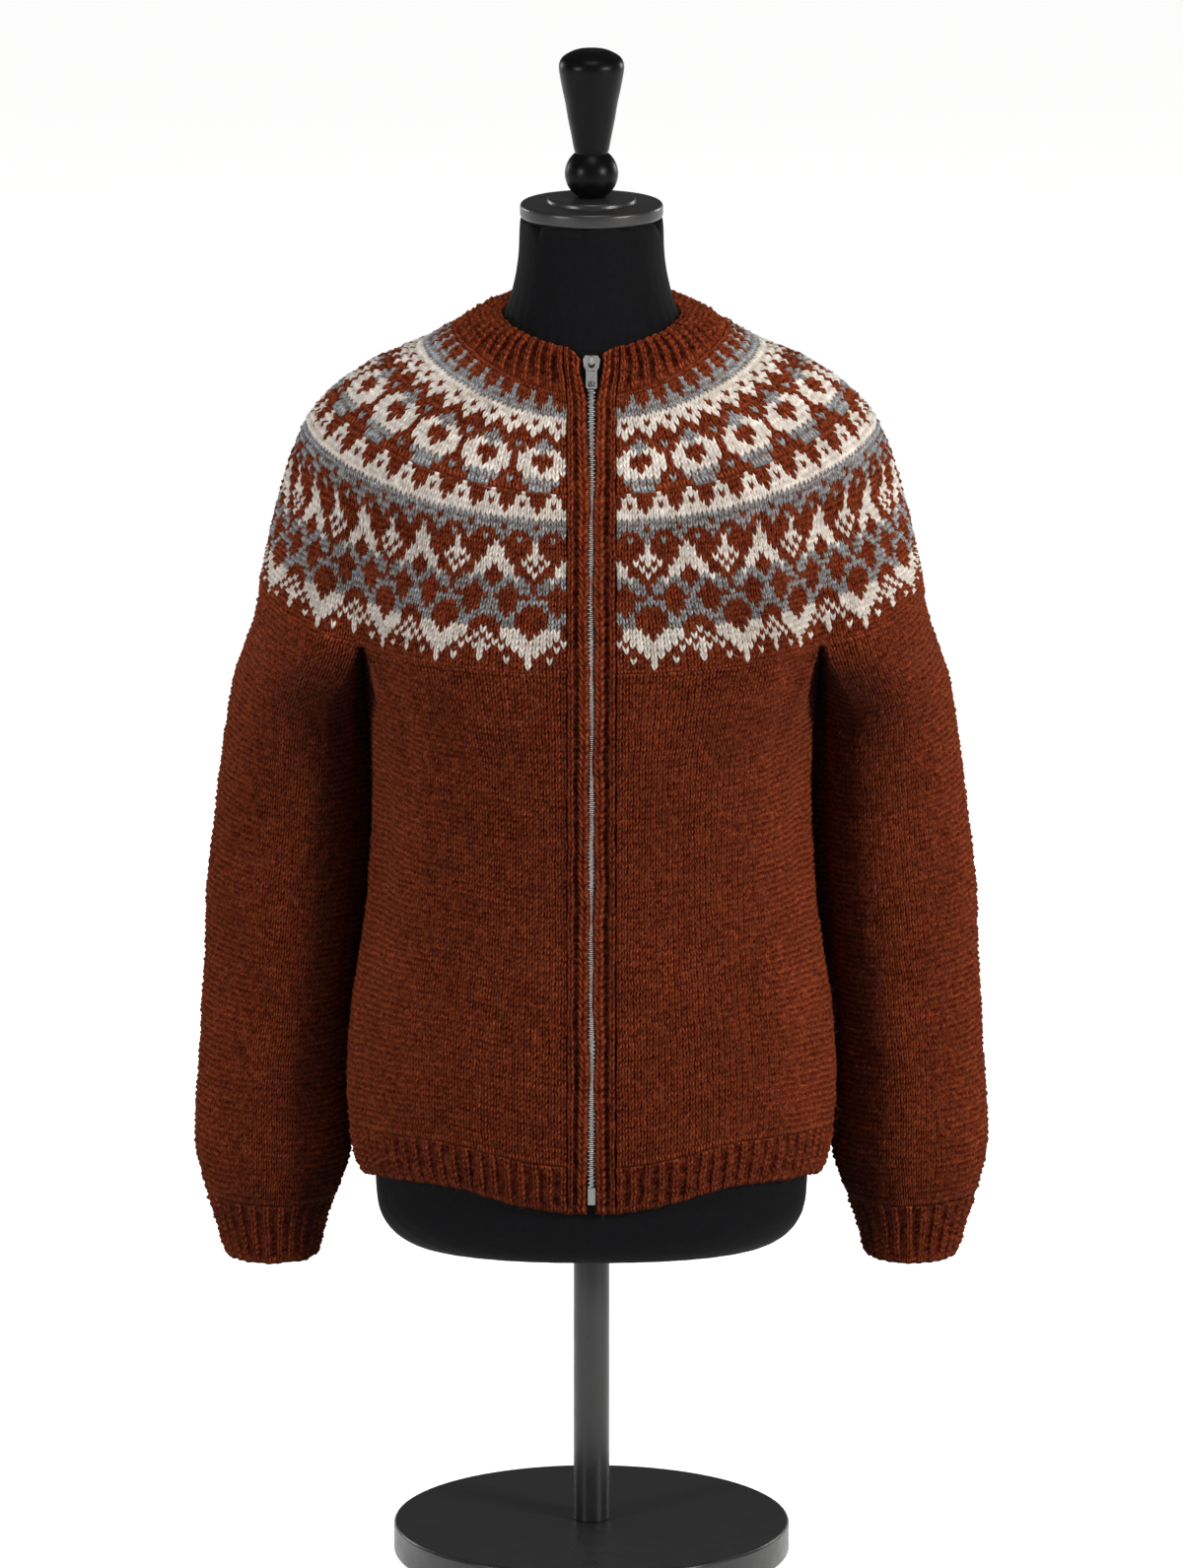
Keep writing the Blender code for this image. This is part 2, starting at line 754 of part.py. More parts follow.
def make_slider():
    half = slider_width / 2
    outline = [
        (half * 0.72, slider_length / 2), (-half * 0.72, slider_length / 2),
        (-half, slider_length * 0.26), (-half * 0.86, -slider_length * 0.30),
        (-half * 0.62, -slider_length / 2), (half * 0.62, -slider_length / 2),
        (half * 0.86, -slider_length * 0.30), (half, slider_length * 0.26),
    ]
    body_mesh = as_mesh(plate("slider_plate", [outline], slider_under, slider_face), "zip_slider")
    slider = add_object("zip_slider", body_mesh, zip_metal)
    arch = [
        (bail_low, -0.0008), (bail_low, bail_reach - 0.0009), (bail_low + 0.0009, bail_reach),
        (bail_top - 0.0012, bail_reach), (bail_top, bail_reach - 0.0012), (bail_top, -0.0008),
        (bail_top - bail_bar, -0.0008), (bail_top - bail_bar, bail_reach - bail_bar - 0.0005),
        (bail_top - bail_bar - 0.0005, bail_reach - bail_bar),
        (bail_low + bail_bar + 0.0004, bail_reach - bail_bar),
        (bail_low + bail_bar, bail_reach - bail_bar - 0.0004), (bail_low + bail_bar, -0.0008),
    ]
    side_view = plate("bail_plate", [arch], -bail_width / 2, bail_width / 2)
    side_view.location = (0.0, 0.0, 0.0)
    bail_mesh = as_mesh(side_view, "bail")
    # The arch is drawn as (along the zip, outward) and stood up on the slider's face.
    bail_mesh.transform(Matrix((
        (0.0, 0.0, 1.0, 0.0),
        (1.0, 0.0, 0.0, 0.0),
        (0.0, 1.0, 0.0, slider_face),
        (0.0, 0.0, 0.0, 1.0),
    )))
    bail = add_object("bail_cutter", bail_mesh, zip_metal)
    bail.hide_render = True
    bail.display_type = "WIRE"
    join = slider.modifiers.new("bail", "BOOLEAN")
    join.operation = "UNION"
    join.object = bail
    slider.matrix_world = front_matrix(slider_place)
    bail.matrix_world = front_matrix(slider_place)


pull_width = 0.0082
pull_length = 0.0215
pull_thickness = 0.0013
pull_bar = 0.0012
pull_slot = 0.0060


def make_pull():
    # Local origin on the upper bar's axis; the tab hangs towards local -Y.
    middle = pull_bar / 2 - pull_length / 2
    outline = rounded(pull_width, pull_length, 0.0016, (0.0, middle))
    slot = rounded(0.0046, pull_slot, 0.0004, (0.0, -pull_bar / 2 - pull_slot / 2), 1)
    hole = rounded(0.0046, 0.0042, 0.0004, (0.0, pull_bar / 2 - pull_length + 0.0036), 1)
    outlines = [outline, slot[::-1], hole[::-1]]
    data = as_mesh(plate("pull_plate", outlines, -pull_thickness / 2, pull_thickness / 2),
                   "zip_pull")
    pull = add_object("zip_pull", data, zip_metal)
    pull.matrix_world = front_matrix(slider_place) @ Matrix.Translation((0.0, pin_y, pin_z))


def make_box():
    # The retainer that closes the zip's lower end.
    bpy.ops.mesh.primitive_cube_add(size=1.0)
    box = bpy.context.object
    box.name = "zip_box"
    box.data.name = "zip_box"
    box.data.transform(Matrix.Diagonal((box_width, box_length, 0.0024, 1.0)))
    box.data.transform(Matrix.Translation((0.0, 0.0, -0.0017)))
    for holder in list(box.users_collection):
        holder.objects.unlink(box)
    parts.objects.link(box)
    box.data.materials.append(zip_metal)
    edge = box.modifiers.new("edge", "BEVEL")
    edge.width = 0.0005
    edge.segments = 2
    box.matrix_world = front_matrix(front_length - box_rise - box_length / 2)


# ---- dress form and stand ----

def form_ring(points):
    # 36 points round from the middle of the front.
    half = between(points, 0.0, np.linspace(0.0, 1.0, 19))
    return np.concatenate((half, mirrored(half)[-2:0:-1]))


def limited(x):
    knee = 9.0
    return x / (1 + (x / shoulder_limit) ** knee) ** (1 / knee)


def oval_points(side, front, back, square, height):
    x, y, lean, reach = half_oval(side, front, back, square)
    return np.stack((x, y, np.full_like(x, height)), axis=1)


def inside_yoke(down, gap):
    # The yoke's course moved in by the wall and a gap, within the arm plates.
    steps = np.linspace(0.0, 1.0, 200)
    points = yoke_middle_row(down, steps)
    normals = normals_of(yoke_middle_row, down, steps, False, *yoke_limits)
    points = points - normals * (wall + gap)
    points[:, 0] = limited(np.maximum(points[:, 0], 0.0))
    points[0, 0] = 0.0
    points[-1, 0] = 0.0
    return points


def yoke_middle_row(down, fractions):
    points = yoke_course(down)
    return between(points, 0.0, fractions)


def make_form():
    rings = [oval_points(r, r, r, 2.0, z) for z, r in neck_table]
    for down in (0.0, 0.019, neckband_end, 0.058, 0.076, 0.096, 0.120, 0.150, 0.190):
        gap = fit_gap + 0.0012 * ease(0.019, 0.0, down) + 0.012 * ease(0.090, 0.190, down)
        rings.append(inside_yoke(down, gap))
    form = {name: column(form_table, form_columns, name) for name in form_columns}
    for k in range(len(form_table)):
        rings.append(oval_points(form["side"][k], form["front"][k], form["back"][k],
                                 form["square"][k], form["height"][k]))
    last = form_table[-1]
    for k in range(1, 5):
        angle = math.pi / 2 * k / 4
        inset = form_corner * (1 - math.cos(angle))
        height = last[0] - form_corner * math.sin(angle)
        rings.append(oval_points(last[1] - inset, last[2] - inset, last[3] - inset, 2.3, height))
    swept_solid("form", [form_ring(points) for points in rings], form_cloth)


def turned(name, profile, steps, look):
    # A profile of (radius, height) from top to bottom, turned about Z.
    data = bpy.data.meshes.new(name)
    points = [(radius, 0.0, height) for radius, height in profile]
    data.from_pydata(points, [(k, k + 1) for k in range(len(points) - 1)], [])
    made = add_object(name, data, look)
    screw = made.modifiers.new("turn", "SCREW")
    screw.axis = "Z"
    screw.angle = math.tau
    screw.steps = steps
    screw.render_steps = steps
    screw.use_merge_vertices = True
    screw.merge_threshold = 0.00001
    screw.use_smooth_shade = True
    return made


def arc(centre_r, centre_z, radius, start, end, steps):
    angles = [math.radians(start + (end - start) * k / steps) for k in range(steps + 1)]
    return [(centre_r + radius * math.cos(a), centre_z + radius * math.sin(a)) for a in angles]


def make_stand():
    edge = 0.003
    turned("base", [
        (0.0, base_height), *arc(base_radius - edge, base_height - edge, edge, 90, 0, 3),
        *arc(base_radius - edge, edge, edge, 0, -90, 2), (0.0, 0.0),
    ], 64, black_paint)
    turned("pole", [
        (0.0, form_bottom - seam), (pole_radius, form_bottom - seam),
        (pole_radius, base_height + seam), (0.0, base_height + seam),
    ], 24, black_paint)
    disc = 0.0515
    low = neck_top + seam
    turned("neck_cap", [
        (0.0, low + 0.0150), (0.0290, low + 0.0150), *arc(0.0295, low + 0.0125, 0.0025, 80, 0, 2),
        (0.0330, low + 0.0110), *arc(disc - 0.003, low + 0.0080, 0.003, 90, 0, 2),
        *arc(disc - 0.003, low + 0.0030, 0.003, 0, -90, 2), (0.0, low),
    ], 36, black_paint)
    ball = 0.0192
    ball_z = 1.0272
    bottom = low + 0.0150 + seam
    start = math.degrees(math.asin(-(ball_z - bottom) / ball))
    turned("finial", [
        (0.0, 1.1180), (0.0100, 1.1172), (0.0170, 1.1145), (0.0220, 1.1105), (0.0236, 1.1055),
        (0.0230, 1.1000), (0.0210, 1.0890), (0.0187, 1.0780), (0.0167, 1.0660),
        (0.0145, 1.0550), (0.0127, 1.0450),
        *arc(0.0, ball_z, ball, 52, start, 7), (0.0, bottom),
    ], 24, black_paint)


make_neckband()
make_yoke()
make_body()
make_hem()
for side, label in ((1, "left"), (-1, "right")):
    make_sleeve(side, label)
    make_front_edge(side, label)
make_chain()
make_box()
make_slider()
make_pull()
make_form()
make_stand()
bpy.context.view_layer.update()
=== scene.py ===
import json
import math

import bmesh
import bpy
import numpy as np
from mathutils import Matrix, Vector

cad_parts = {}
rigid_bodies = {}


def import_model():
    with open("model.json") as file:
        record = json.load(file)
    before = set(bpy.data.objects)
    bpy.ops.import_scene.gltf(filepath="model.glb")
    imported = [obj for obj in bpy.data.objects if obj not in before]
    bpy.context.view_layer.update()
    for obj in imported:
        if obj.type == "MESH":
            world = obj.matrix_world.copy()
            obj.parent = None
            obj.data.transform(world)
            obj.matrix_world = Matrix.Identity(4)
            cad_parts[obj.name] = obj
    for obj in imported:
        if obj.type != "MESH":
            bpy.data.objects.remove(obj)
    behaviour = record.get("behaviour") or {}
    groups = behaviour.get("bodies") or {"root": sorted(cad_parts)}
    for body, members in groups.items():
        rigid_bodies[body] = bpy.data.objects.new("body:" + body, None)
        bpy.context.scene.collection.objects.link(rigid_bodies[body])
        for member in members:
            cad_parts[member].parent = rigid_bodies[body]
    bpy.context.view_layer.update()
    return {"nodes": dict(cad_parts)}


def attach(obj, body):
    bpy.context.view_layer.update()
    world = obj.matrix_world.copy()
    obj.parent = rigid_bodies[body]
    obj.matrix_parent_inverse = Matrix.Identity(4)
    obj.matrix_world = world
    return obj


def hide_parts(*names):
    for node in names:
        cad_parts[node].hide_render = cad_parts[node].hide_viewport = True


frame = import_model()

bodyName = "dressed_form"
scene = bpy.context.scene
sides = ((1, "Left"), (-1, "Right"))


class Nodes:
    # Builds a node tree. An input gets a plain value, or a socket to link from.
    # In add, names in small letters are the node's settings, the others its inputs.
    def __init__(self, tree):
        self.tree = tree

    def feed(self, node, inputs):
        for name, value in inputs.items():
            if isinstance(value, bpy.types.NodeSocket):
                self.tree.links.new(value, node.inputs[name])
            else:
                node.inputs[name].default_value = value

    def add(self, kind, *inputs, **values):
        node = self.tree.nodes.new(kind)
        for name in [name for name in values if name.islower()]:
            setattr(node, name, values.pop(name))
        self.feed(node, {**dict(enumerate(inputs)), **values})
        return node

    def maths(self, operation, *inputs, **more):
        return self.add("ShaderNodeMath", *inputs, operation=operation, **more).outputs[0]

    def vectors(self, operation, *inputs, **more):
        return self.add("ShaderNodeVectorMath", *inputs, operation=operation, **more).outputs[0]

    def named(self, name, kind):
        node = self.add("GeometryNodeInputNamedAttribute", data_type=kind, Name=name)
        return node.outputs["Attribute"]

    def attribute(self, name):
        return self.add("ShaderNodeAttribute", attribute_name=name).outputs

    def mix(self, kind, factor, first, second):
        mixed = self.add("ShaderNodeMix", data_type="RGBA", blend_type=kind)
        self.feed(mixed, {0: factor, 6: first, 7: second})
        return mixed.outputs[2]

    def ramp(self, source, *stops):
        ramp = self.add("ShaderNodeValToRGB", Fac=source)
        while len(ramp.color_ramp.elements) < len(stops):
            ramp.color_ramp.elements.new(0.5)
        for element, (place, value) in zip(ramp.color_ramp.elements, stops):
            element.position = place
            value = (value,) * 3 if isinstance(value, float) else value
            element.color = (*value, 1.0)
        return ramp.outputs["Color"]

    def noise(self, source, scale, detail=2.0, roughness=0.5, stretch=(1.0, 1.0, 1.0)):
        mapping = self.add("ShaderNodeMapping", Vector=source, Scale=stretch)
        return self.add("ShaderNodeTexNoise", Vector=mapping.outputs["Vector"], Scale=scale,
                        Detail=detail, Roughness=roughness).outputs["Fac"]

    def bump(self, heights, strength, distance, shader):
        bump = self.add("ShaderNodeBump", Height=heights, Strength=strength, Distance=distance)
        self.feed(shader, {"Normal": bump.outputs["Normal"]})


# View, light and floor.

viewSettings = {
    "distance": 10.0,
    "elevation": 13.0,          # degrees above the horizon
    "targetHeight": 0.5772,
    "metresAcross": 0.000715 * 1591,
    "sensor": 36.0,
}

angle = math.radians(viewSettings["elevation"])
target = Vector((0.0, 0.0, viewSettings["targetHeight"]))
away = Vector((0.0, -math.cos(angle), math.sin(angle)))
cameraData = bpy.data.cameras.new("camera")
cameraData.sensor_width = viewSettings["sensor"]
cameraData.lens = viewSettings["sensor"] * viewSettings["distance"] / viewSettings["metresAcross"]
cameraData.clip_end = 100.0
camera = bpy.data.objects.new("camera", cameraData)
camera.location = target + away * viewSettings["distance"]
camera.rotation_euler = (-away).to_track_quat("-Z", "Y").to_euler()
scene.collection.objects.link(camera)
scene.camera = camera
scene.view_settings.view_transform = "Standard"

lightSettings = (
    # name, place, size, watts, colour
    ("keyLight", (3.4, -2.6, 2.1), 1.3, 176.0, (1.0, 0.96, 0.91)),
    ("leftLight", (-3.4, -2.9, 2.0), 1.2, 112.0, (1.0, 0.98, 0.96)),
    ("backLeft", (-2.9, 2.7, 1.3), 1.0, 27.0, (1.0, 1.0, 1.0)),
    ("backRight", (2.9, 2.7, 1.3), 1.0, 27.0, (1.0, 1.0, 1.0)),
    ("topLight", (0.1, -0.9, 3.4), 1.2, 22.0, (1.0, 1.0, 1.0)),
)
for name, place, size, watts, colour in lightSettings:
    lampData = bpy.data.lights.new(name, "AREA")
    lampData.shape = "DISK"
    lampData.size = size
    lampData.energy = watts
    lampData.color = colour
    lamp = bpy.data.objects.new(name, lampData)
    lamp.location = place
    aim = Vector((0.0, 0.0, 0.65)) - lamp.location
    lamp.rotation_euler = aim.to_track_quat("-Z", "Y").to_euler()
    scene.collection.objects.link(lamp)

world = bpy.data.worlds.new("studio")
world.use_nodes = True
nodes = Nodes(world.node_tree)
# The sky looks white past the floor's end but lights the part only a little.
seen = nodes.add("ShaderNodeLightPath").outputs["Is Camera Ray"]
strength = nodes.add("ShaderNodeMapRange", Value=seen, **{"To Min": 0.085, "To Max": 1.0})
nodes.feed(world.node_tree.nodes["Background"],
           {"Color": (1.0, 1.0, 1.0, 1.0), "Strength": strength.outputs["Result"]})
scene.world = world

# Materials.

def newMaterial(name, colour, roughness, metallic=0.0, specular=0.5):
    material = bpy.data.materials.new(name)
    material.use_nodes = True
    nodes = Nodes(material.node_tree)
    shader = material.node_tree.nodes["Principled BSDF"]
    nodes.feed(shader, {"Base Color": (*colour, 1.0), "Roughness": roughness,
                        "Metallic": metallic, "Specular IOR Level": specular})
    return material, nodes, shader, nodes.add("ShaderNodeTexCoord").outputs["Object"]


yarnColours = {                 # the last number is how strongly the yarn is heathered
    ".": (0.226, 0.0480, 0.0165, 0.85),
    "g": (0.345, 0.400, 0.460, 0.72),
    "w": (0.850, 0.840, 0.800, 0.20),
}


def makeWool():
    # Tone gives the yarn's colour, relief its place in the stitch, and the UV map counts stitches.
    # Relief and rib also give painted shade between the stitches and a painted highlight on their
    # tops.
    material, nodes, shader, place = newMaterial("rustWool", yarnColours["."][:3], 0.92,
                                                 specular=0.08)
    tone = nodes.attribute("tone")
    groove = nodes.maths("MINIMUM", nodes.attribute("rib")["Fac"], 0.0)
    gap = nodes.maths("MULTIPLY_ADD", groove, 0.65, nodes.attribute("relief")["Fac"])
    stitches = nodes.add("ShaderNodeUVMap", uv_map="stitch").outputs["UV"]
    heather = nodes.noise(place, 430.0, 3.0, 0.75)
    streaks = nodes.noise(stitches, 1.0, 2.0, 0.6, (0.45, 1.0, 1.0))
    patches = nodes.noise(place, 24.0)
    colour = tone["Color"]
    for share, noise, low, high in (
        (tone["Alpha"], heather, (0.36, 0.28), (0.64, 1.72)),
        (1.0, streaks, (0.30, 0.78), (0.70, 1.22)),
        (1.0, patches, (0.30, 0.88), (0.70, 1.12)),
    ):
        colour = nodes.mix("MULTIPLY", share, colour, nodes.ramp(noise, low, high))
    depth = nodes.add("ShaderNodeMapRange", Value=gap, **{"From Min": -0.80, "From Max": 0.85})
    # How strongly the painted shade and highlight show: less on white yarn, and unevenly.
    paintedShadeShare = nodes.maths(
        "MULTIPLY", nodes.ramp(nodes.noise(place, 210.0, 2.0, 0.6), (0.35, 0.55), (0.60, 1.12)),
        nodes.maths("MULTIPLY_ADD", tone["Alpha"], 0.66, 0.32), use_clamp=True)
    # Painted shade: deep between the stitches the wool is darker and redder; among light yarn the
    # red is partly the rust floats behind. The tops of the loops get a painted highlight.
    paintedShadeAndHighlight = nodes.ramp(depth.outputs["Result"], (0.0, (0.10, 0.02, 0.01)),
                      (0.35, (0.36, 0.16, 0.06)), (0.65, (0.66, 0.46, 0.32)), (0.97, 1.12))
    nodes.feed(shader, {"Base Color": nodes.mix("MULTIPLY", paintedShadeShare, colour, paintedShadeAndHighlight)})
    nodes.bump(nodes.noise(place, 1150.0, 3.0, 0.7), 0.6, 0.0008, shader)
    return material


def makeFuzz():
    material, nodes, shader, place = newMaterial("woolFibre", (0.30, 0.10, 0.05), 0.9,
                                                 specular=0.05)
    mixed = nodes.mix("MIX", 0.22, nodes.attribute("tone")["Color"], (0.50, 0.28, 0.18, 1.0))
    spread = nodes.ramp(nodes.noise(place, 90.0), (0.3, 0.8), (0.7, 1.25))
    nodes.feed(shader, {"Base Color": nodes.mix("MULTIPLY", 1.0, mixed, spread)})
    return material


def makeFormCloth():
    black = (0.0026, 0.0025, 0.0034)
    material, nodes, shader, place = newMaterial("formCloth", black, 0.85, specular=0.10)
    lint = nodes.ramp(nodes.noise(place, 300.0, 4.0, 0.7), (0.35, 0.75), (0.75, 1.5))
    nodes.feed(shader, {"Base Color": nodes.mix("MULTIPLY", 1.0, (*black, 1.0), lint),
                        "Sheen Weight": 0.03, "Sheen Roughness": 0.4})
    nodes.bump(nodes.noise(place, 1400.0, 2.0, 0.6, (1.0, 1.0, 0.35)), 0.35, 0.0003, shader)
    return material


def makePaint(name, depth):
    material, nodes, shader, place = newMaterial(name, (0.020, 0.020, 0.021), 0.32,
                                                 specular=0.5 * depth)
    wear = nodes.noise(place, 45.0, 4.0, 0.6)
    tint = nodes.ramp(wear, (0.3, (0.018, 0.018, 0.019)), (0.7, (0.026, 0.026, 0.027)))
    nodes.feed(shader, {"Base Color": nodes.mix("MULTIPLY", 1.0, tint, (depth,) * 3 + (1.0,)),
                        "Roughness": nodes.ramp(wear, (0.3, 0.27), (0.7, 0.40))})
    nodes.bump(nodes.noise(place, 700.0), 0.06, 0.0003, shader)
    return material


def makeMetal(name, bright, edgeContrast):
    material, nodes, shader, place = newMaterial(name, (bright, bright, bright), 0.4, 1.0)
    grain = nodes.noise(place, 900.0, 3.0, 0.6)
    low, high = bright * 0.82, bright * 1.18
    tint = nodes.ramp(grain, (0.3, (low, low * 0.985, low * 0.95)),
                      (0.7, (high, high * 0.985, high * 0.95)))
    # Lighter on convex edges and darker in hollows, by the mesh's pointiness.
    edges = nodes.add("ShaderNodeNewGeometry").outputs["Pointiness"]
    edgeTone = nodes.ramp(edges, (0.47, 1.0 - edgeContrast), (0.56, 1.0 + edgeContrast))
    nodes.feed(shader, {"Base Color": nodes.mix("MULTIPLY", 1.0, tint, edgeTone),
                        "Roughness": nodes.ramp(grain, (0.3, 0.34), (0.75, 0.52))})
    nodes.bump(grain, 0.08, 0.0001, shader)
    return material


def makeTape():
    material, nodes, shader, place = newMaterial("zipTape", (0.045, 0.012, 0.006), 0.85,
                                                 specular=0.08)
    weave = nodes.noise(place, 1600.0, 1.0, 0.5, (1.0, 1.0, 0.5))
    tint = nodes.ramp(weave, (0.35, (0.03, 0.008, 0.004)), (0.65, (0.06, 0.016, 0.008)))
    nodes.feed(shader, {"Base Color": tint})
    nodes.bump(weave, 0.4, 0.0002, shader)
    return material


def makeFloorPaper():
    material, nodes, shader, place = newMaterial("floorPaper", (0.93, 0.93, 0.93), 0.9,
                                                 specular=0.1)
    nodes.feed(shader, {
        "Base Color": nodes.ramp(nodes.noise(place, 2.0), (0.3, 0.925), (0.7, 0.935)),
        "Emission Color": (1.0, 1.0, 1.0, 1.0),
        "Emission Strength": 0.84,
    })
    return material


wool = makeWool()
fibre = makeFuzz()
formCloth = makeFormCloth()
blackPaint = makePaint("blackPaint", 0.85)
finialPaint = makePaint("finialPaint", 0.16)
zipMetal = makeMetal("zipMetal", 0.40, 0.25)
sliderMetal = makeMetal("sliderMetal", 0.13, 0.45)
zipTape = makeTape()


def addPiece(name, mesh):
    piece = bpy.data.objects.new(name, mesh)
    scene.collection.objects.link(piece)
    return piece


def putOnBody(piece, node=None):
    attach(piece, bodyName)
    if node:
        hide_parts(node)


def trianglesIn(piece):
    return sum(len(p.vertices) - 2 for p in piece.data.polygons)


reach, under = 30.0, -0.0004
floorData = bpy.data.meshes.new("floor")
floorData.from_pydata([(-reach, -reach, under), (reach, -reach, under), (reach, reach, under),
                       (-reach, reach, under)], [], [(0, 1, 2, 3)])
floorData.materials.append(makeFloorPaper())
floor = addPiece("floor", floorData)
floor.visible_diffuse = False   # it shows white but doesn't light the wool from below
print("view, light and materials are ready")


# The garment's sections, as in the part.

sizes = {
    "wall": 0.003,
    "seam": 0.0003,
    "bandInner": 0.0034,
    "bandOuter": 0.0173,
    "bandDepth": 0.0019,
    "neckSpread": 0.0048,
    "outerShare": 0.55,         # of that spread, at the band's outer edge
    "plainEnd": 0.0016,         # of the yoke, under its pattern
    "creaseX": 0.165,
    "creaseWidth": 0.022,
    "underarmDip": 0.006,
    "risePower": 1.8,
    "bodySettles": (-0.04, 0.19),       # where its courses turn into ovals, as a share
    "sleeveSettles": (-0.04, 0.16),
    "hemRibHeight": 0.036,
    "cuffHeight": 0.0455,
    "neckRibs": 26,             # in half the neckband
    "hemRibs": 44,              # in half the hem
    "cuffRibs": 26,             # round a cuff
    "ringWales": 167,
    "latticeWales": 263,
    "bodyWales": 104,           # in half the body
    "sleeveWales": 92,
    "neckRows": 8,
    "bodyRows": 80,
    "hemRows": 8,
    "sleeveRows": 96,
    "cuffRows": 10,
}

yokeColumns = ("front", "frontZ", "side", "sideZ", "back", "backZ", "square", "dent")
yoke = dict(zip(yokeColumns, np.transpose((
    (0.0600, 0.9107, 0.0635, 0.9245, 0.0600, 0.9420, 2.00, 0.0000),
    (0.0830, 0.8815, 0.0972, 0.9159, 0.0800, 0.9230, 2.00, 0.0000),
    (0.0950, 0.8645, 0.1237, 0.9015, 0.0920, 0.9080, 2.05, 0.0000),
    (0.1080, 0.8352, 0.1659, 0.8829, 0.1040, 0.8840, 2.10, 0.0000),
    (0.1180, 0.7993, 0.2038, 0.8484, 0.1130, 0.8500, 2.20, 0.0010),
    (0.1245, 0.7531, 0.2250, 0.7904, 0.1175, 0.7970, 2.30, 0.0060),
    (0.1280, 0.6872, 0.2388, 0.7280, 0.1190, 0.7350, 2.40, 0.0140),
))))
bodyColumns = ("height", "side", "front", "back", "square")
body = dict(zip(bodyColumns, np.transpose((
    (0.7030, 0.1640, 0.1280, 0.1180, 2.40),
    (0.6620, 0.1630, 0.1270, 0.1130, 2.40),
    (0.6100, 0.1600, 0.1240, 0.1100, 2.35),
    (0.5680, 0.1590, 0.1210, 0.1070, 2.35),
    (0.4880, 0.1630, 0.1190, 0.1080, 2.35),
    (0.4440, 0.1690, 0.1200, 0.1110, 2.35),
    (0.4000, 0.1750, 0.1210, 0.1150, 2.35),
    (0.3490, 0.1770, 0.1200, 0.1160, 2.35),
    (0.3140, 0.1740, 0.1170, 0.1140, 2.35),
    (0.2906, 0.1690, 0.1130, 0.1110, 2.35),
    (0.2830, 0.1650, 0.1110, 0.1090, 2.35),
))))
hemStations = (0.00, 0.06, 0.22, 0.36, 0.50, 0.70, 1.00)
hemHeights = (0.2835, 0.2870, 0.3000, 0.2960, 0.2870, 0.2910, 0.2930)
sleeveColumns = ("height", "inner", "outer", "depth", "middle")
sleeve = dict(zip(sleeveColumns, np.transpose((
    (0.7030, 0.1660, 0.2400, 0.0880, 0.0000),
    (0.6580, 0.1630, 0.2530, 0.0730, 0.0200),
    (0.5970, 0.1590, 0.2645, 0.0620, 0.0300),
    (0.5380, 0.1590, 0.2725, 0.0580, 0.0330),
    (0.4790, 0.1635, 0.2785, 0.0560, 0.0340),
    (0.4230, 0.1710, 0.2820, 0.0545, 0.0340),
    (0.3470, 0.1765, 0.2885, 0.0530, 0.0330),
    (0.3030, 0.1765, 0.2890, 0.0515, 0.0320),
    (0.2730, 0.1840, 0.2840, 0.0475, 0.0310),
    (0.2635, 0.1885, 0.2805, 0.0440, 0.0305),
    (0.2445, 0.1955, 0.2740, 0.0380, 0.0300),
    (0.2180, 0.2015, 0.2665, 0.0330, 0.0300),
))))
# Folds: around, down, wide, tall, depth (outward), slant. The first rows are the part's own.
bodyFolds = (
    (0.285, 0.12, 0.030, 0.16, -0.0035, 0.00),
    (0.235, 0.30, 0.040, 0.20, 0.0015, 0.02),
    (0.140, 0.55, 0.050, 0.22, -0.0016, -0.04),
    (0.360, 0.70, 0.050, 0.14, -0.0018, 0.03),
    (0.700, 0.12, 0.040, 0.18, -0.0040, 0.02),
    (0.800, 0.45, 0.050, 0.20, -0.0030, 0.05),
    (0.930, 0.62, 0.040, 0.16, 0.0018, -0.03),
)
sleeveFolds = (
    (0.300, 0.30, 0.060, 0.09, -0.0030, 0.20),
    (0.430, 0.44, 0.090, 0.07, 0.0022, 0.25),
    (0.330, 0.56, 0.080, 0.06, -0.0028, -0.30),
    (0.520, 0.70, 0.090, 0.06, -0.0024, 0.20),
    (0.380, 0.82, 0.070, 0.05, 0.0024, -0.10),
    (0.640, 0.40, 0.080, 0.08, -0.0030, -0.20),
    (0.720, 0.62, 0.070, 0.07, -0.0026, 0.20),
    (0.620, 0.84, 0.070, 0.05, 0.0020, 0.10),
)


def smooth(stations, values, where):
    # Monotone cubic through the stations, which rise.
    stations = np.asarray(stations, float)
    values = np.asarray(values, float)
    step = np.diff(stations)
    slope = np.diff(values) / step
    same = slope[:-1] * slope[1:] > 0
    total = np.where(same, slope[:-1] + slope[1:], 1.0)
    tangent = np.concatenate((
        slope[:1],
        np.where(same, 2 * slope[:-1] * slope[1:] / total, 0.0),
        slope[-1:],
    ))
    i = np.clip(np.searchsorted(stations, where) - 1, 0, len(step) - 1)
    u = np.clip((where - stations[i]) / step[i], 0.0, 1.0)
    rest = 1 - u
    return (values[i] * (1 + 2 * u) * rest ** 2
            + values[i + 1] * u ** 2 * (3 - 2 * u)
            + step[i] * tangent[i] * u * rest ** 2
            - step[i] * tangent[i + 1] * u ** 2 * rest)


def ease(start, end, where):
    u = np.clip((where - start) / (end - start), 0.0, 1.0)
    return u * u * (3 - 2 * u)


yokeDown = np.concatenate((
    [0.0], np.cumsum(np.hypot(np.diff(yoke["front"]), np.diff(yoke["frontZ"])))))
neckbandEnd = yokeDown[1]
yokeEnd = yokeDown[-1]
underarmZ = body["height"][0]
hemZ = body["height"][-1]
bodyLength = yoke["frontZ"][-1] - hemHeights[0]
frontLength = yokeEnd + bodyLength
sleeveRun = sleeve["height"][0] - sleeve["height"][-1]


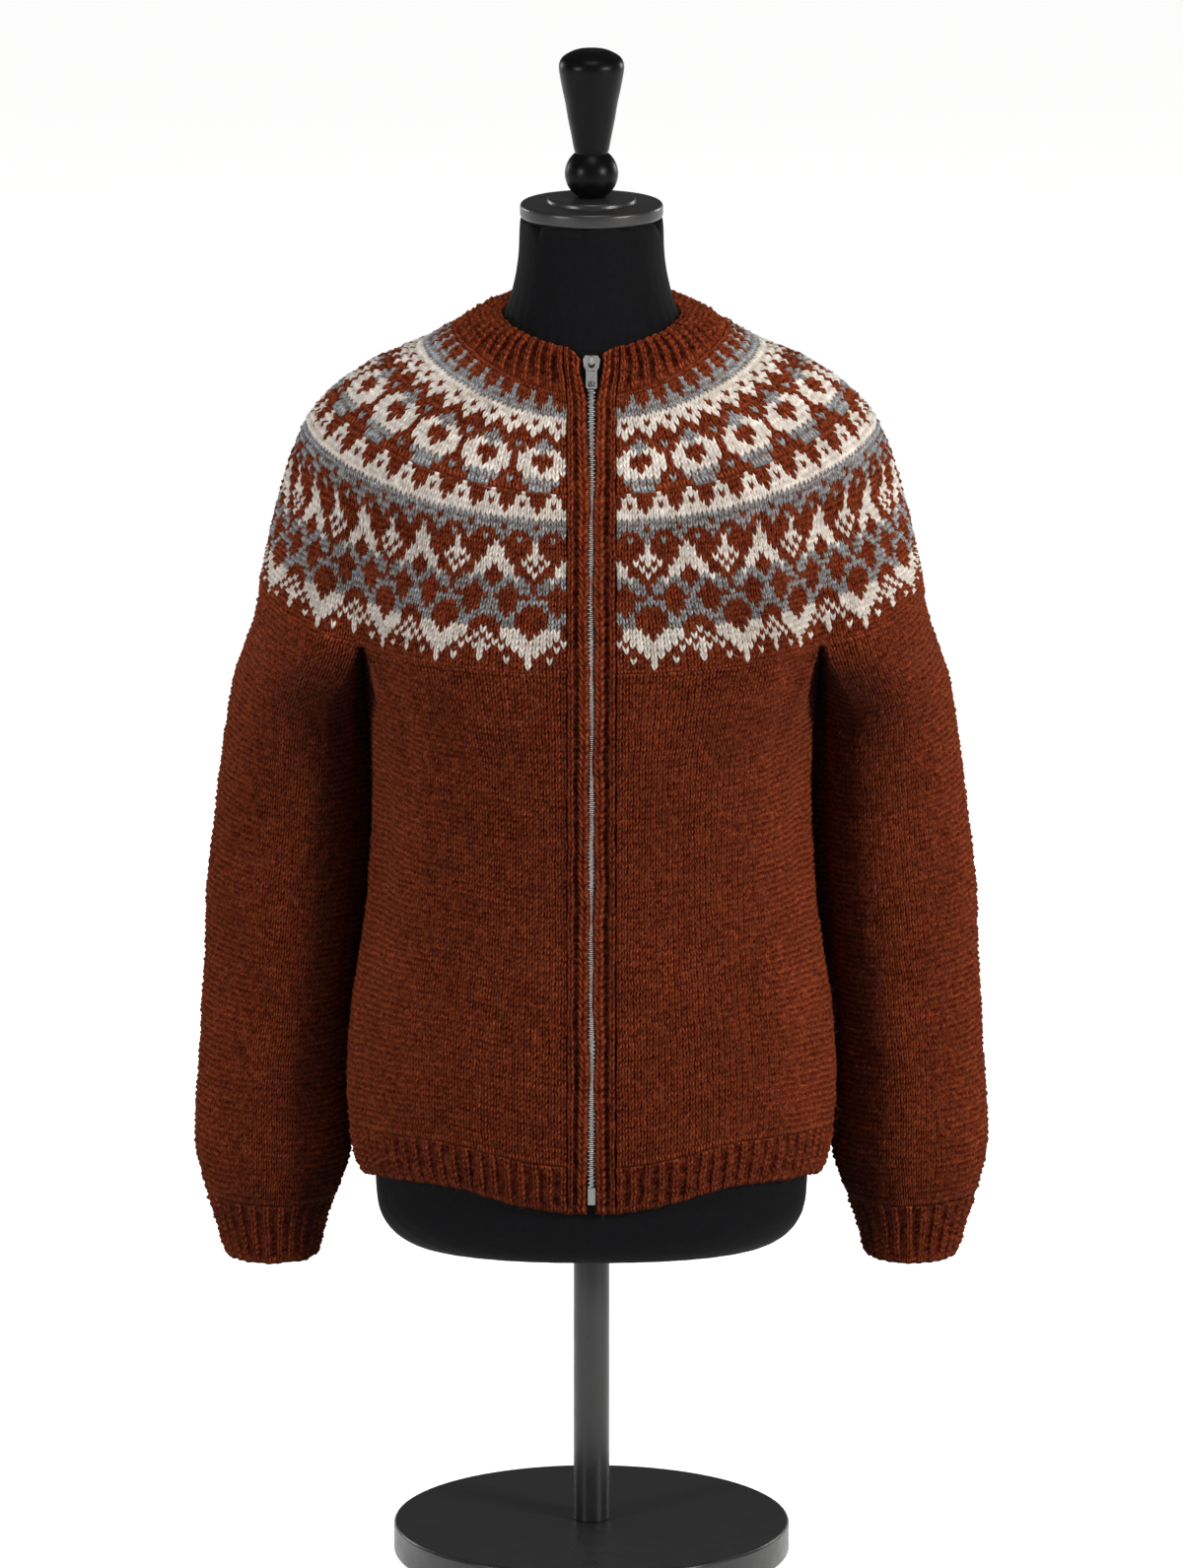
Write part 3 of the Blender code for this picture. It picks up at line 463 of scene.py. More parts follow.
def halfOval(p, count=420):
    # From the middle of the front round +X to the middle of the back.
    turn = np.linspace(0.0, math.pi, count)
    x = p["side"] * np.sin(turn) ** (2 / p["square"])
    lean = -np.cos(turn)
    reach = np.abs(lean) ** (2 / p["square"])
    y = np.where(lean < 0, -p["front"], p["back"]) * reach
    return x, y, lean, reach


def stationAt(table, stations, where):
    return {name: smooth(stations, values, where) for name, values in table.items()}


def yokeCourse(down):
    p = stationAt(yoke, yokeDown, down)
    x, y, lean, reach = halfOval(p)
    near = np.exp(-((x - sizes["creaseX"]) / sizes["creaseWidth"]) ** 2)
    y = y - np.sign(lean) * p["dent"] * near
    endZ = np.where(lean < 0, p["frontZ"], p["backZ"])
    z = p["sideZ"] + (endZ - p["sideZ"]) * reach ** sizes["risePower"]
    return np.stack((x, y, z), axis=1)


def lengths(points):
    return np.concatenate(([0.0], np.cumsum(np.linalg.norm(np.diff(points, axis=0), axis=1))))


def sample(points, places):
    run = lengths(points)
    return np.stack([np.interp(places, run, points[:, k]) for k in range(3)], axis=1)


def placeOfX(points, x):
    turn = int(np.argmax(points[:, 0]))
    return np.interp(x, points[:turn, 0], lengths(points)[:turn])


def spreadAt(down):
    return 1 - ease(0.010, 0.045, down)


def innerEdge(down):
    return sizes["bandInner"] + sizes["neckSpread"] * spreadAt(down)


def outerEdge(down):
    return sizes["bandOuter"] + sizes["outerShare"] * sizes["neckSpread"] * spreadAt(down)


def between(points, start, fractions):
    end = lengths(points)[-1]
    return sample(points, start + np.asarray(fractions) * (end - start))


def yokeRow(down, fractions):
    points = yokeCourse(down)
    return between(points, placeOfX(points, outerEdge(down) + sizes["seam"]), fractions)


lastCourse = yokeCourse(yokeEnd)
lastLength = lengths(lastCourse)[-1]
sideIndex = int(np.argmax(lastCourse[:, 0]))
creaseFrontPlace = np.interp(sizes["creaseX"], lastCourse[:sideIndex, 0],
                             lengths(lastCourse)[:sideIndex])
creaseBackPlace = np.interp(-sizes["creaseX"], -lastCourse[sideIndex:, 0],
                            lengths(lastCourse)[sideIndex:])


def arcOfLast(start, end, count=120):
    return sample(lastCourse, np.linspace(start, end, count))


def underarm(count=60):
    # The straight run under the arm, shared by body and sleeve.
    front, back = arcOfLast(creaseFrontPlace, creaseBackPlace, 2)
    u = np.linspace(0.0, 1.0, count)[:, None]
    points = front * (1 - u) + back * u
    dip = sizes["underarmDip"] * np.sin(math.pi * u[:, 0]) ** 0.8
    points[:, 2] -= dip + (points[:, 2] - underarmZ) * np.sin(math.pi * u[:, 0]) * 0.6
    return points


bodyTop = np.concatenate((
    arcOfLast(0.0, creaseFrontPlace),
    underarm()[1:-1] - np.array((sizes["seam"] / 2, 0.0, 0.0)),
    arcOfLast(creaseBackPlace, lastLength),
))
bodyShare = (underarmZ - body["height"]) / (underarmZ - hemZ)


def folded(row, share, fractions, folds):
    lift = np.zeros(len(row))
    for around, down, wide, tall, depth, slant in folds:
        off = (fractions - around - slant * (share - down)) / wide
        lift += depth * np.exp(-off ** 2 - ((share - down) / tall) ** 2)
    along = np.gradient(row[:, :2], axis=0)
    along /= np.linalg.norm(along, axis=1)[:, None]
    row[:, 0] += along[:, 1] * lift
    row[:, 1] -= along[:, 0] * lift
    return row


def bodyRow(share, fractions):
    x, y, _, _ = halfOval(stationAt(body, bodyShare, share))
    oval = np.stack((x, y, np.zeros_like(x)), axis=1)
    edge = sizes["bandOuter"] + sizes["seam"]
    top = between(bodyTop, placeOfX(bodyTop, edge), fractions)
    ring = between(oval, placeOfX(oval, edge), fractions)
    settled = ease(*sizes["bodySettles"], share)
    row = top * (1 - settled) + ring * settled
    if share <= 0:
        row = top.copy()
    hem = smooth(hemStations, hemHeights, np.clip(fractions, 0.0, 1.0))
    row[:, 2] = top[:, 2] * (1 - share) + hem * share
    if share > 0.02 and len(row) > 2:
        row = folded(row, share, fractions, bodyFolds)
    return row


sleeveShare = (sleeve["height"][0] - sleeve["height"]) / sleeveRun
sleeveArm = underarm()[1:-1] + np.array((sizes["seam"] / 2, 0.0, 0.0))
armMiddle = len(sleeveArm) // 2
sleeveTop = np.concatenate((
    sleeveArm[armMiddle::-1],
    arcOfLast(creaseFrontPlace, creaseBackPlace, 160),
    sleeveArm[:armMiddle - 1:-1],
))


def sleeveRow(share, fractions):
    # A closed ring from the middle of the underarm, by the front.
    p = stationAt(sleeve, sleeveShare, share)
    centre = (p["inner"] + p["outer"]) / 2
    half = (p["outer"] - p["inner"]) / 2
    turn = np.linspace(0.0, 2 * math.pi, 360)
    oval = np.stack((centre - half * np.cos(turn), p["middle"] - p["depth"] * np.sin(turn),
                     np.zeros_like(turn)), axis=1)
    top = sample(sleeveTop, fractions * lengths(sleeveTop)[-1])
    ring = sample(oval, fractions * lengths(oval)[-1])
    settled = ease(*sizes["sleeveSettles"], share)
    row = top * (1 - settled) + ring * settled
    if share <= 0:
        row = top.copy()
    row[:, 2] = top[:, 2] * (1 - share) + sleeve["height"][-1] * share
    return folded(row, share, fractions, sleeveFolds) if share > 0.02 else row


def frontRow(down, x):
    # Points of the garment's outer surface beside the zip, at distances x from the middle.
    x = np.asarray(x, float)
    if down <= yokeEnd:
        points = yokeCourse(down)
        turn = int(np.argmax(points[:, 0]))
        y, z = (np.interp(x, points[:turn, 0], points[:turn, k]) for k in (1, 2))
        return np.stack((x, y, z), axis=1)
    share = min((down - yokeEnd) / bodyLength, 1.0)
    point = bodyRow(share, np.array((0.0,)))[0]
    middle = smooth(bodyShare, body["front"], share)
    settled = ease(*sizes["bodySettles"], share)
    middle = yoke["front"][-1] * (1 - settled) + middle * settled
    u = (x / (sizes["bandOuter"] + sizes["seam"])) ** 2
    return np.stack((x, -middle * (1 - u) + point[1] * u, np.full_like(x, point[2])), axis=1)


def frontPoint(down, x):
    return frontRow(down, (x,))[0]


def frontNormal(down, step=0.004):
    # Outward from the zip, in the plane of symmetry.
    above = frontPoint(max(down - step, 0.0), 0.0)
    below = frontPoint(min(down + step, frontLength), 0.0)
    along = (below - above) / np.linalg.norm(below - above)
    return np.cross(along, np.array((1.0, 0.0, 0.0)))


# Geometry Nodes: what repeats or follows a surface.

def newTree(name, *inputs):
    tree = bpy.data.node_groups.new(name, "GeometryNodeTree")
    for kind, label in (("Geometry", "Geometry"), *inputs, ("Material", "Material")):
        tree.interface.new_socket(label, in_out="INPUT", socket_type="NodeSocket" + kind)
    tree.interface.new_socket("Geometry", in_out="OUTPUT", socket_type="NodeSocketGeometry")
    nodes = Nodes(tree)
    return nodes, nodes.add("NodeGroupInput").outputs


def closeTree(nodes, geometry, material):
    real = nodes.add("GeometryNodeRealizeInstances", Geometry=geometry)
    paint = nodes.add("GeometryNodeSetMaterial", Geometry=real.outputs["Geometry"],
                      Material=material)
    nodes.add("NodeGroupOutput", Geometry=paint.outputs["Geometry"])
    return nodes.tree


def reliefTree():
    # Raises stitches and ribs along the surface's normal, with a hand knitter's unevenness.
    nodes, given = newTree("stitchRelief", ("Float", "Stitch Height"), ("Float", "Rib Height"),
                           ("Float", "Unevenness"), ("Float", "Waver"), ("Float", "Seed"))
    place = nodes.add("GeometryNodeInputPosition").outputs[0]
    outside = nodes.named("outside", "FLOAT")

    def noise(scale):
        return nodes.add("ShaderNodeTexNoise", noise_dimensions="4D", Vector=place,
                         W=given["Seed"], Scale=scale).outputs

    uneven = noise(170.0)["Fac"]
    stitch = nodes.maths("MULTIPLY", nodes.named("relief", "FLOAT"), given["Stitch Height"])
    spread = nodes.maths("ADD", nodes.maths("MULTIPLY", uneven, 1.8), 0.1)
    stitch = nodes.maths("MULTIPLY", stitch, spread)
    rib = nodes.maths("MULTIPLY", nodes.named("rib", "FLOAT"), given["Rib Height"])
    wobble = nodes.maths("MULTIPLY", nodes.maths("SUBTRACT", uneven, 0.5), given["Unevenness"])
    wobble = nodes.maths("MULTIPLY", wobble, outside)
    lift = nodes.maths("ADD", nodes.maths("ADD", stitch, rib), wobble)
    raised = nodes.vectors("SCALE", nodes.named("outward", "FLOAT_VECTOR"), Scale=lift)
    drift = nodes.vectors("SUBTRACT", noise(95.0)["Color"], (0.5, 0.5, 0.5))
    waver = nodes.vectors("SCALE", drift, Scale=nodes.maths("MULTIPLY", given["Waver"], outside))
    moved = nodes.add("GeometryNodeSetPosition", Geometry=given["Geometry"],
                      Offset=nodes.vectors("ADD", raised, waver))
    return closeTree(nodes, moved.outputs["Geometry"], given["Material"])


def runTree(piece, tree, values):
    # Sets the inputs by identifier, then turns the evaluated result into a plain mesh.
    modifier = piece.modifiers.new(tree.name, "NODES")
    modifier.node_group = tree
    for item in tree.interface.items_tree:
        if item.in_out == "INPUT" and item.name in values:
            modifier[item.identifier] = values[item.name]
    bpy.context.view_layer.update()
    graph = bpy.context.evaluated_depsgraph_get()
    mesh = bpy.data.meshes.new_from_object(piece.evaluated_get(graph))
    piece.modifiers.remove(modifier)
    before, piece.data = piece.data, mesh
    mesh.name = piece.name
    bpy.data.meshes.remove(before)


relief = reliefTree()


# Knitting: one continuous surface of V-shaped stitches.

stitchSettings = {
    "lean": 0.80,               # how far a stitch's legs rise, in rows
    "height": 0.00150,
    "ribHeight": 0.0019,
    "unevenness": 0.0012,
    "waver": 0.0034,
    "innerStep": 8,             # half rows from point to point on the inner side
}
# Relief at a stitch's quarters, from its left edge: between two rows, then in the middle of a row.
legRelief = ((-0.90, -0.12, -0.60, -0.12), (-0.75, 1.00, -0.35, 1.00))


def meshFrom(name, points, faces, tones, uvs, attributes):
    # faces is a list of arrays with one width each; tones and uvs follow their corners.
    mesh = bpy.data.meshes.new(name)
    loops = np.concatenate([f.ravel() for f in faces])
    totals = np.concatenate([np.full(len(f), f.shape[1]) for f in faces])
    starts = np.concatenate(([0], np.cumsum(totals)[:-1]))
    mesh.vertices.add(len(points))
    mesh.vertices.foreach_set("co", points.astype(np.float32).ravel())
    mesh.loops.add(len(loops))
    mesh.loops.foreach_set("vertex_index", loops.astype(np.int32))
    mesh.polygons.add(len(totals))
    mesh.polygons.foreach_set("loop_start", starts.astype(np.int32))
    mesh.polygons.foreach_set("loop_total", totals.astype(np.int32))
    mesh.update(calc_edges=True)
    mesh.validate()
    mesh.shade_smooth()
    tone = mesh.color_attributes.new("tone", "FLOAT_COLOR", "CORNER")
    tone.data.foreach_set("color", np.concatenate(tones).astype(np.float32).ravel())
    layer = mesh.uv_layers.new(name="stitch")
    layer.data.foreach_set("uv", np.concatenate(uvs).astype(np.float32).ravel())
    for label, values in attributes.items():
        kind = "FLOAT_VECTOR" if values.ndim == 2 else "FLOAT"
        made = mesh.attributes.new(label, kind, "POINT")
        made.data.foreach_set("vector" if values.ndim == 2 else "value",
                              values.astype(np.float32).ravel())
    return mesh


def knitGrid(rowAt, places, wales, closed, chart, ribLevel):
    # places are half rows from top to bottom. Gives points, outward vectors, relief and tones.
    across = 4 * wales
    columns = np.arange(across) / across if closed else np.arange(across + 1) / across
    plain = np.stack([rowAt(place, columns) for place in places])
    down = np.gradient(plain, axis=0)
    ahead = (np.roll(plain, -1, axis=1) - np.roll(plain, 1, axis=1) if closed
             else np.gradient(plain, axis=1))
    outward = np.cross(down, ahead)
    outward /= np.linalg.norm(outward, axis=2)[:, :, None]
    last = len(places) - 1
    halfRow = np.arange(last + 1)
    fade = np.clip(np.minimum(halfRow / 3.0, last - halfRow), 0.0, 1.0)
    quarter = np.arange(len(columns)) % 4
    rise = 2 * stitchSettings["lean"] * np.array((1.0, 0.5, 0.0, 0.5))[quarter]
    where = halfRow[:, None] - fade[:, None] * rise[None, :]
    low = np.clip(np.floor(where).astype(int), 0, last - 1)
    part = (where - low)[:, :, None]
    pick = np.arange(len(columns))[None, :]
    points = plain[low, pick] * (1 - part) + plain[low + 1, pick] * part
    legs = np.array(legRelief)[halfRow % 2][:, quarter]
    legs[[0, -1]] = 0.15
    levels = np.array([ribLevel(k) for k in range(wales)])
    wale = np.minimum(np.arange(len(columns)) // 4, wales - 1)
    level = levels[wale]
    edges = (quarter == 0) & (np.arange(len(columns)) > 0)
    level[edges] = (levels[wale[edges]] + levels[wale[edges] - 1]) / 2
    calm = np.where(level < -0.5, 0.45, 1.0)
    legs = legs * calm[None, :]
    colours = np.array([[yarnColours[chart(r, k)] for k in range(wales)]
                        for r in range(last // 2)])
    ends = np.clip(np.minimum(halfRow, last - halfRow) / 3.0, 0.25, 1.0)
    return plain, points, outward, legs, ends[:, None] * level[None, :], colours


def quadsOf(grid):
    return np.stack((grid[:-1, :-1], grid[1:, :-1], grid[1:, 1:], grid[:-1, 1:]), axis=2)


def knitPiece(name, parts, node, closed=False, seed=0, bold=1.0):
    # parts are knitted one under the other, each (rowAt, places, wales, chart, ribLevel).
    gathered = []
    surfaces = {}

    def gather(*arrays):
        # Points, outward, relief, rib and outside of a grid. Gives its points' numbers.
        start = sum(len(kept[0]) for kept in gathered)
        gathered.append([array.reshape(-1, *array.shape[2:]) for array in arrays])
        rows, columns = arrays[0].shape[:2]
        return start + np.arange(rows * columns).reshape(rows, columns)

    def keep(*arrays):
        # Faces of one width, with the tones and coordinates of their corners.
        kept = surfaces.setdefault(arrays[0].shape[1], ([], [], []))
        for values, more in zip(kept, arrays):
            values.append(more)

    def keepPlain(polygons):
        polygons = np.asarray(polygons)
        spots = polygons.size
        keep(polygons, np.tile(yarnColours["."], (spots, 1)), np.zeros((spots, 2)))

    def joined(grid):
        return np.concatenate((grid, grid[:, :1]), axis=1) if closed else grid

    for rowAt, places, wales, chart, ribLevel in parts:
        plain, points, outward, legs, ribs, colours = knitGrid(
            rowAt, places, wales, closed, chart, ribLevel)
        outer = gather(points, outward, legs, ribs, np.ones(points.shape[:2]))
        wide = joined(outer)
        quads = quadsOf(wide)
        r, c = np.indices(quads.shape[:2])
        corners = np.stack([np.stack((c + right, r + down), 2)
                            for right, down in ((0, 0), (0, 1), (1, 1), (1, 0))], axis=2)
        tone = colours[np.minimum(r // 2, len(colours) - 1), c // 4]
        keep(quads.reshape(-1, 4), np.repeat(tone.reshape(-1, 4), 4, axis=0),
             (corners * np.array((0.25, -0.5))).reshape(-1, 2))

        # The plain inner side, with the outer side's ends turned in to it.
        last = len(places) - 1
        innerRows = np.unique(np.append(np.arange(0, last + 1, stitchSettings["innerStep"]), last))
        inside = (plain - outward * sizes["wall"])[innerRows, ::4]
        still = np.zeros(inside.shape[:2])
        inner = gather(inside, np.zeros_like(inside), still, still, still)
        wideInner = joined(inner)
        keepPlain(quadsOf(wideInner)[:, :, [0, 3, 2, 1]].reshape(-1, 4))
        keepPlain([[*wide[0, 4 * w:4 * w + 5], wideInner[0, w + 1], wideInner[0, w]]
                   for w in range(wales)])
        keepPlain([[*wide[-1, 4 * w:4 * w + 5][::-1], wideInner[-1, w], wideInner[-1, w + 1]]
                   for w in range(wales)])
        if not closed:
            for k, (top, bottom) in enumerate(zip(innerRows[:-1], innerRows[1:])):
                left, right = outer[top:bottom + 1, 0], outer[top:bottom + 1, -1]
                keepPlain([[*left[::-1], inner[k, 0], inner[k + 1, 0]]])
                keepPlain([[*right, inner[k + 1, -1], inner[k, -1]]])

    faces, tones, uvs = zip(*([np.concatenate(values) for values in surfaces[width]]
                              for width in sorted(surfaces)))
    points, outward, legs, ribs, outside = (np.concatenate(kept) for kept in zip(*gathered))
    piece = addPiece(name, meshFrom(name, points, faces, tones, uvs, {
        "relief": legs, "rib": ribs, "outside": outside, "outward": outward}))
    runTree(piece, relief, {
        "Stitch Height": stitchSettings["height"] * bold,
        "Rib Height": stitchSettings["ribHeight"],
        "Unevenness": stitchSettings["unevenness"],
        "Waver": stitchSettings["waver"],
        "Seed": float(seed),
        "Material": wool,
    })
    putOnBody(piece, node)


def wholeWidth(halfRowAt, place, spots):
    # From the wearer's left front edge round the back to the right front edge.
    half = halfRowAt(place, 2 * spots[:len(spots) // 2 + 1])
    other = half[-2::-1].copy()
    other[:, 0] *= -1
    return np.concatenate((half, other))


def plainChart(row, wale):
    return "."


def level(wale):
    return 0.0


def ribbed(wale):
    return 1.0 if wale % 2 == 0 else -1.0


def softRibbed(wale):
    return 0.70 * ribbed(wale)


# Yoke pattern. Each chart is read from its axis outwards, and mirrored about it.
ringChart = (                   # 8 stitches: the axis is the middle of a ring
    ".....",
    "g...g",
    "g...g",
    "gg.gg",
    "ggggg",
    "wwwww",
    "ww.ww",
    ".www.",
    "..w..",
    "g....",
    "gg..g",
    "gww..",
    "..ww.",
    "..ww.",
    ".www.",
    "www..",
    "ggg.g",
    "gg...",
)
crownChart = (                  # 6 stitches: the axis is the middle of a crown
    "w...",
    "ww..",
    ".w..",
    "www.",
    "wwww",
    "gggg",
    "ggg.",
    "..gg",
    "g..g",
)
latticeChart = (                # 14 stitches: the axis is the tip of a white chevron
    "w......w",
    "w.....ww",
    "ww....ww",
    "w.w..www",
    ".w..www.",
    "w...ww..",
    "..gwgg..",
    ".ggg.gg.",
    ".gg...gg",
    "g......g",
    "ggg...gg",
    "..g...gg",
    "...g.ggg",
    "...ggg..",
    "...gg...",
    "..www..w",
    ".wwww.w.",
    "wwww.w.w",
    "www.w.ww",
    "ww.....w",
    "w..w...w",
    "w.......",
)


def chartOf(wales, *patterns):
    # patterns are one under the other, each (chart, repeat, first axis), then plain rows.
    def chartAt(row, wale):
        edge = min(wale, wales - 1 - wale)      # the same on both fronts
        for chart, repeat, axis in patterns:
            if row < len(chart):
                off = (edge - axis) % repeat
                return chart[row][min(off, repeat - off)]
            row -= len(chart)
        return "."
    return chartAt


upperChart = chartOf(sizes["ringWales"], (ringChart, 8, 3))
lowerChart = chartOf(sizes["latticeWales"], (crownChart, 6, 2), (latticeChart, 14, 5))


# Where the stitches lie along half a course: even near the neck, closer together in front of the
# arms further down, as the yoke is drawn into the crease there.
waleStations = (0.0, 0.15, 0.26, 0.36, 0.47, 0.62, 1.0)
walePlaces = {                  # by the share of the way down the yoke
    0.45: (0.0, 0.150, 0.258, 0.355, 0.462, 0.612, 1.0),
    0.62: (0.0, 0.148, 0.243, 0.322, 0.405, 0.560, 1.0),
    0.98: (0.0, 0.163, 0.240, 0.325, 0.430, 0.590, 1.0),
}


def spreadWales(share, fractions):
    shares = sorted(walePlaces)
    rows = [smooth(waleStations, walePlaces[k], fractions) for k in shares]
    k = int(np.clip(np.searchsorted(shares, share) - 1, 0, len(shares) - 2))
    u = ease(shares[k], shares[k + 1], share)
    return rows[k] * (1 - u) + rows[k + 1] * u


def makeYoke():
    rows = len(ringChart) + len(crownChart) + len(latticeChart)
    patternEnd = yokeEnd - sizes["plainEnd"]
    split = neckbandEnd + (patternEnd - neckbandEnd) * len(ringChart) / rows
    upper = np.linspace(neckbandEnd, split, 2 * len(ringChart) + 1)
    lower = np.linspace(split, patternEnd, 2 * (rows - len(ringChart)) + 1)
    lower = np.concatenate((lower, ((patternEnd + yokeEnd) / 2, yokeEnd)))

    def spreadRow(down, fractions):
        share = (down - neckbandEnd) / (yokeEnd - neckbandEnd)
        return yokeRow(down, spreadWales(share, fractions))

    def rowAt(down, spots):
        return wholeWidth(spreadRow, down, spots)

    knitPiece("yokeKnit", (
        (rowAt, upper, sizes["ringWales"], upperChart, level),
        (rowAt, lower, sizes["latticeWales"], lowerChart, level),
    ), "yoke", seed=1)


def makeNeckband():
    # Knitted thick, so it swells between its two edges.
    def rowAt(down, spots):
        row = wholeWidth(yokeRow, down, spots)
        swell = 0.0030 * math.sin(math.pi * min(down / neckbandEnd * 0.94 + 0.06, 1.0)) ** 0.7
        reach = np.hypot(row[:, 0], row[:, 1])
        row[:, :2] *= (1 + 0.75 * swell / reach)[:, None]
        row[:, 2] += 0.65 * swell
        return row

    places = np.linspace(0.0, neckbandEnd, 2 * sizes["neckRows"] + 1)
    knitPiece("neckbandKnit", ((rowAt, places, 4 * sizes["neckRibs"] + 1, plainChart, ribbed),),
              "neckband", seed=2)


hemShare = sizes["hemRibHeight"] / bodyLength
cuffShare = sizes["cuffHeight"] / sleeveRun

# Softer folds of one side only: around, down, wide, tall, depth, slant.
bodySideFolds = {
    1: ((0.395, 0.36, 0.060, 0.25, -0.0075, 0.00), (0.262, 0.16, 0.022, 0.12, 0.0024, -0.05),
        (0.215, 0.66, 0.030, 0.16, -0.0018, 0.10), (0.110, 0.26, 0.040, 0.10, -0.0014, -0.12),
        (0.165, 0.88, 0.040, 0.05, 0.0018, 0.05), (0.620, 0.40, 0.030, 0.14, -0.0022, 0.08),
        (0.870, 0.24, 0.040, 0.12, 0.0020, -0.06)),
    -1: ((0.400, 0.38, 0.062, 0.27, -0.0100, 0.00), (0.250, 0.22, 0.026, 0.14, 0.0020, 0.06),
         (0.190, 0.52, 0.036, 0.13, -0.0020, -0.12), (0.085, 0.72, 0.036, 0.12, 0.0014, 0.08),
         (0.235, 0.86, 0.034, 0.06, 0.0020, -0.05), (0.660, 0.62, 0.034, 0.14, 0.0020, -0.08),
         (0.820, 0.30, 0.040, 0.12, -0.0022, 0.06)),
}
sleeveSideFolds = {
    1: ((0.072, 0.30, 0.034, 0.30, -0.0085, 0.00), (0.210, 0.16, 0.050, 0.07, -0.0024, 0.30),
        (0.300, 0.46, 0.070, 0.035, -0.0022, -0.35), (0.240, 0.66, 0.080, 0.030, 0.0020, 0.30),
        (0.330, 0.88, 0.100, 0.030, 0.0022, 0.05), (0.720, 0.55, 0.080, 0.040, -0.0026, 0.30)),
    -1: ((0.074, 0.32, 0.036, 0.32, -0.0120, 0.00), (0.230, 0.12, 0.050, 0.08, -0.0026, 0.20),
         (0.260, 0.38, 0.060, 0.040, 0.0018, 0.35), (0.340, 0.60, 0.080, 0.030, -0.0024, -0.30),
         (0.220, 0.90, 0.090, 0.030, 0.0022, -0.05), (0.680, 0.48, 0.080, 0.040, 0.0024, -0.30)),
}


def sideFolded(row, share, fractions, folds, ribShare, fade):
    # One side's own folds, which fade out towards the yoke and the rib.
    if not 0.02 < share < 1 - ribShare:
        return row
    calm = ease(0.02, 0.12, share) * ease(1.0 - ribShare, fade - ribShare, share)
    return folded(row, share, fractions,
                  [(*around, depth * calm, slant) for *around, depth, slant in folds])


def makeBody(side, label):
    # The left and the right half meet at the middle of the back.
    def rowAt(share, spots):
        fractions = spots if side > 0 else 1 - spots[::-1]
        row = bodyRow(share, fractions)
        row = sideFolded(row, share, fractions, bodySideFolds[side], hemShare, 0.86)
        row[:, 0] *= side
        return row[::side]

    places = np.linspace(0.0, 1 - hemShare, 2 * sizes["bodyRows"] + 1)
    knitPiece("bodyKnit" + label, ((rowAt, places, sizes["bodyWales"], plainChart, level),),
              "body", seed=3 + side)


def makeHem():
    def rowAt(share, spots):
        return wholeWidth(bodyRow, share, spots)

    places = np.linspace(1 - hemShare, 1.0, 2 * sizes["hemRows"] + 1)
    knitPiece("hemKnit", ((rowAt, places, 4 * sizes["hemRibs"] + 1, plainChart, softRibbed),),
              "hem_rib", seed=5)


def makeSleeve(side, label):
    def rowAt(share, spots):
        row = sleeveRow(share, spots)
        row = sideFolded(row, share, spots, sleeveSideFolds[side], cuffShare, 0.90)
        if side > 0:
            return row
        row[:, 0] *= -1
        return np.roll(row[::-1], 1, axis=0)

    places = np.linspace(0.0, 1 - cuffShare, 2 * sizes["sleeveRows"] + 1)
    knitPiece("sleeveKnit" + label, ((rowAt, places, sizes["sleeveWales"], plainChart, level),),
              "sleeve_" + label.lower(), closed=True, seed=6 + side)
    places = np.linspace(1 - cuffShare, 1.0, 2 * sizes["cuffRows"] + 1)
    knitPiece("cuffKnit" + label,
              ((rowAt, places, 2 * sizes["cuffRibs"], plainChart, softRibbed),),
              "cuff_" + label.lower(), closed=True, seed=9 + side)


makeYoke()
makeNeckband()
for side, label in sides:
    makeBody(side, label)
makeHem()
for side, label in sides:
    makeSleeve(side, label)
print("the knitted pieces are made")

# Front bands.

bandSettings = {
    "rows": 118,
    "columns": (0.0, 0.54, 0.70, 1.0),      # edges of the stitch column, groove and ridge
    "levels": (0.30, -0.80, 0.85),
    "cover": (0.0010, 0.0020),              # how far the inner edge lies over the zip
    "cornerDrop": {1: 0.0045, -1: 0.0085},  # the top corner at the zip sags
    "cornerReach": 0.030,
}


def makeBand(side, label):
    # A raised column at the zip, a groove, and a raised column along the body.
    quarters = np.arange(13) / 12
    shape = np.interp(quarters, np.arange(4) / 3, bandSettings["columns"])
    least, more = bandSettings["cover"]
    drop = bandSettings["cornerDrop"][side]

    def rowAt(down, spots):
        shares = np.interp(spots, quarters, shape)
        # The inner edge wavers and hides a little of the zip here and there.
        waver = 0.5 + 0.5 * math.sin(31.0 * down + 1.7 * side) * math.sin(74.0 * down + side)
        covered = 1 - 0.9 * ease(frontLength - 0.10, frontLength - 0.03, down)
        start = innerEdge(down) - (least + more * waver) * ease(0.05, 0.09, down) * covered
        x = start + shares * (outerEdge(down) - start)
        near = max(1.0 - down / bandSettings["cornerReach"], 0.0)
        if near > 0:
            lower = down + near * drop * np.clip(1 - shares / 0.75, 0.0, 1.0) ** 1.6
            points = np.array([frontPoint(d, at) for d, at in zip(lower, x)])
        else:
            points = frontRow(down, x)
        points[:, 0] *= side
        return points[::side]

    places = np.linspace(0.0, frontLength, 2 * bandSettings["rows"] + 1)

    def levelAt(wale):
        return bandSettings["levels"][wale if side > 0 else 2 - wale]

    knitPiece("frontBandKnit" + label, ((rowAt, places, 3, plainChart, levelAt),),
              "front_band_" + label.lower(), seed=12 + side, bold=1.35)


for side, label in sides:
    makeBand(side, label)
print("the front bands are made")

# Zip.

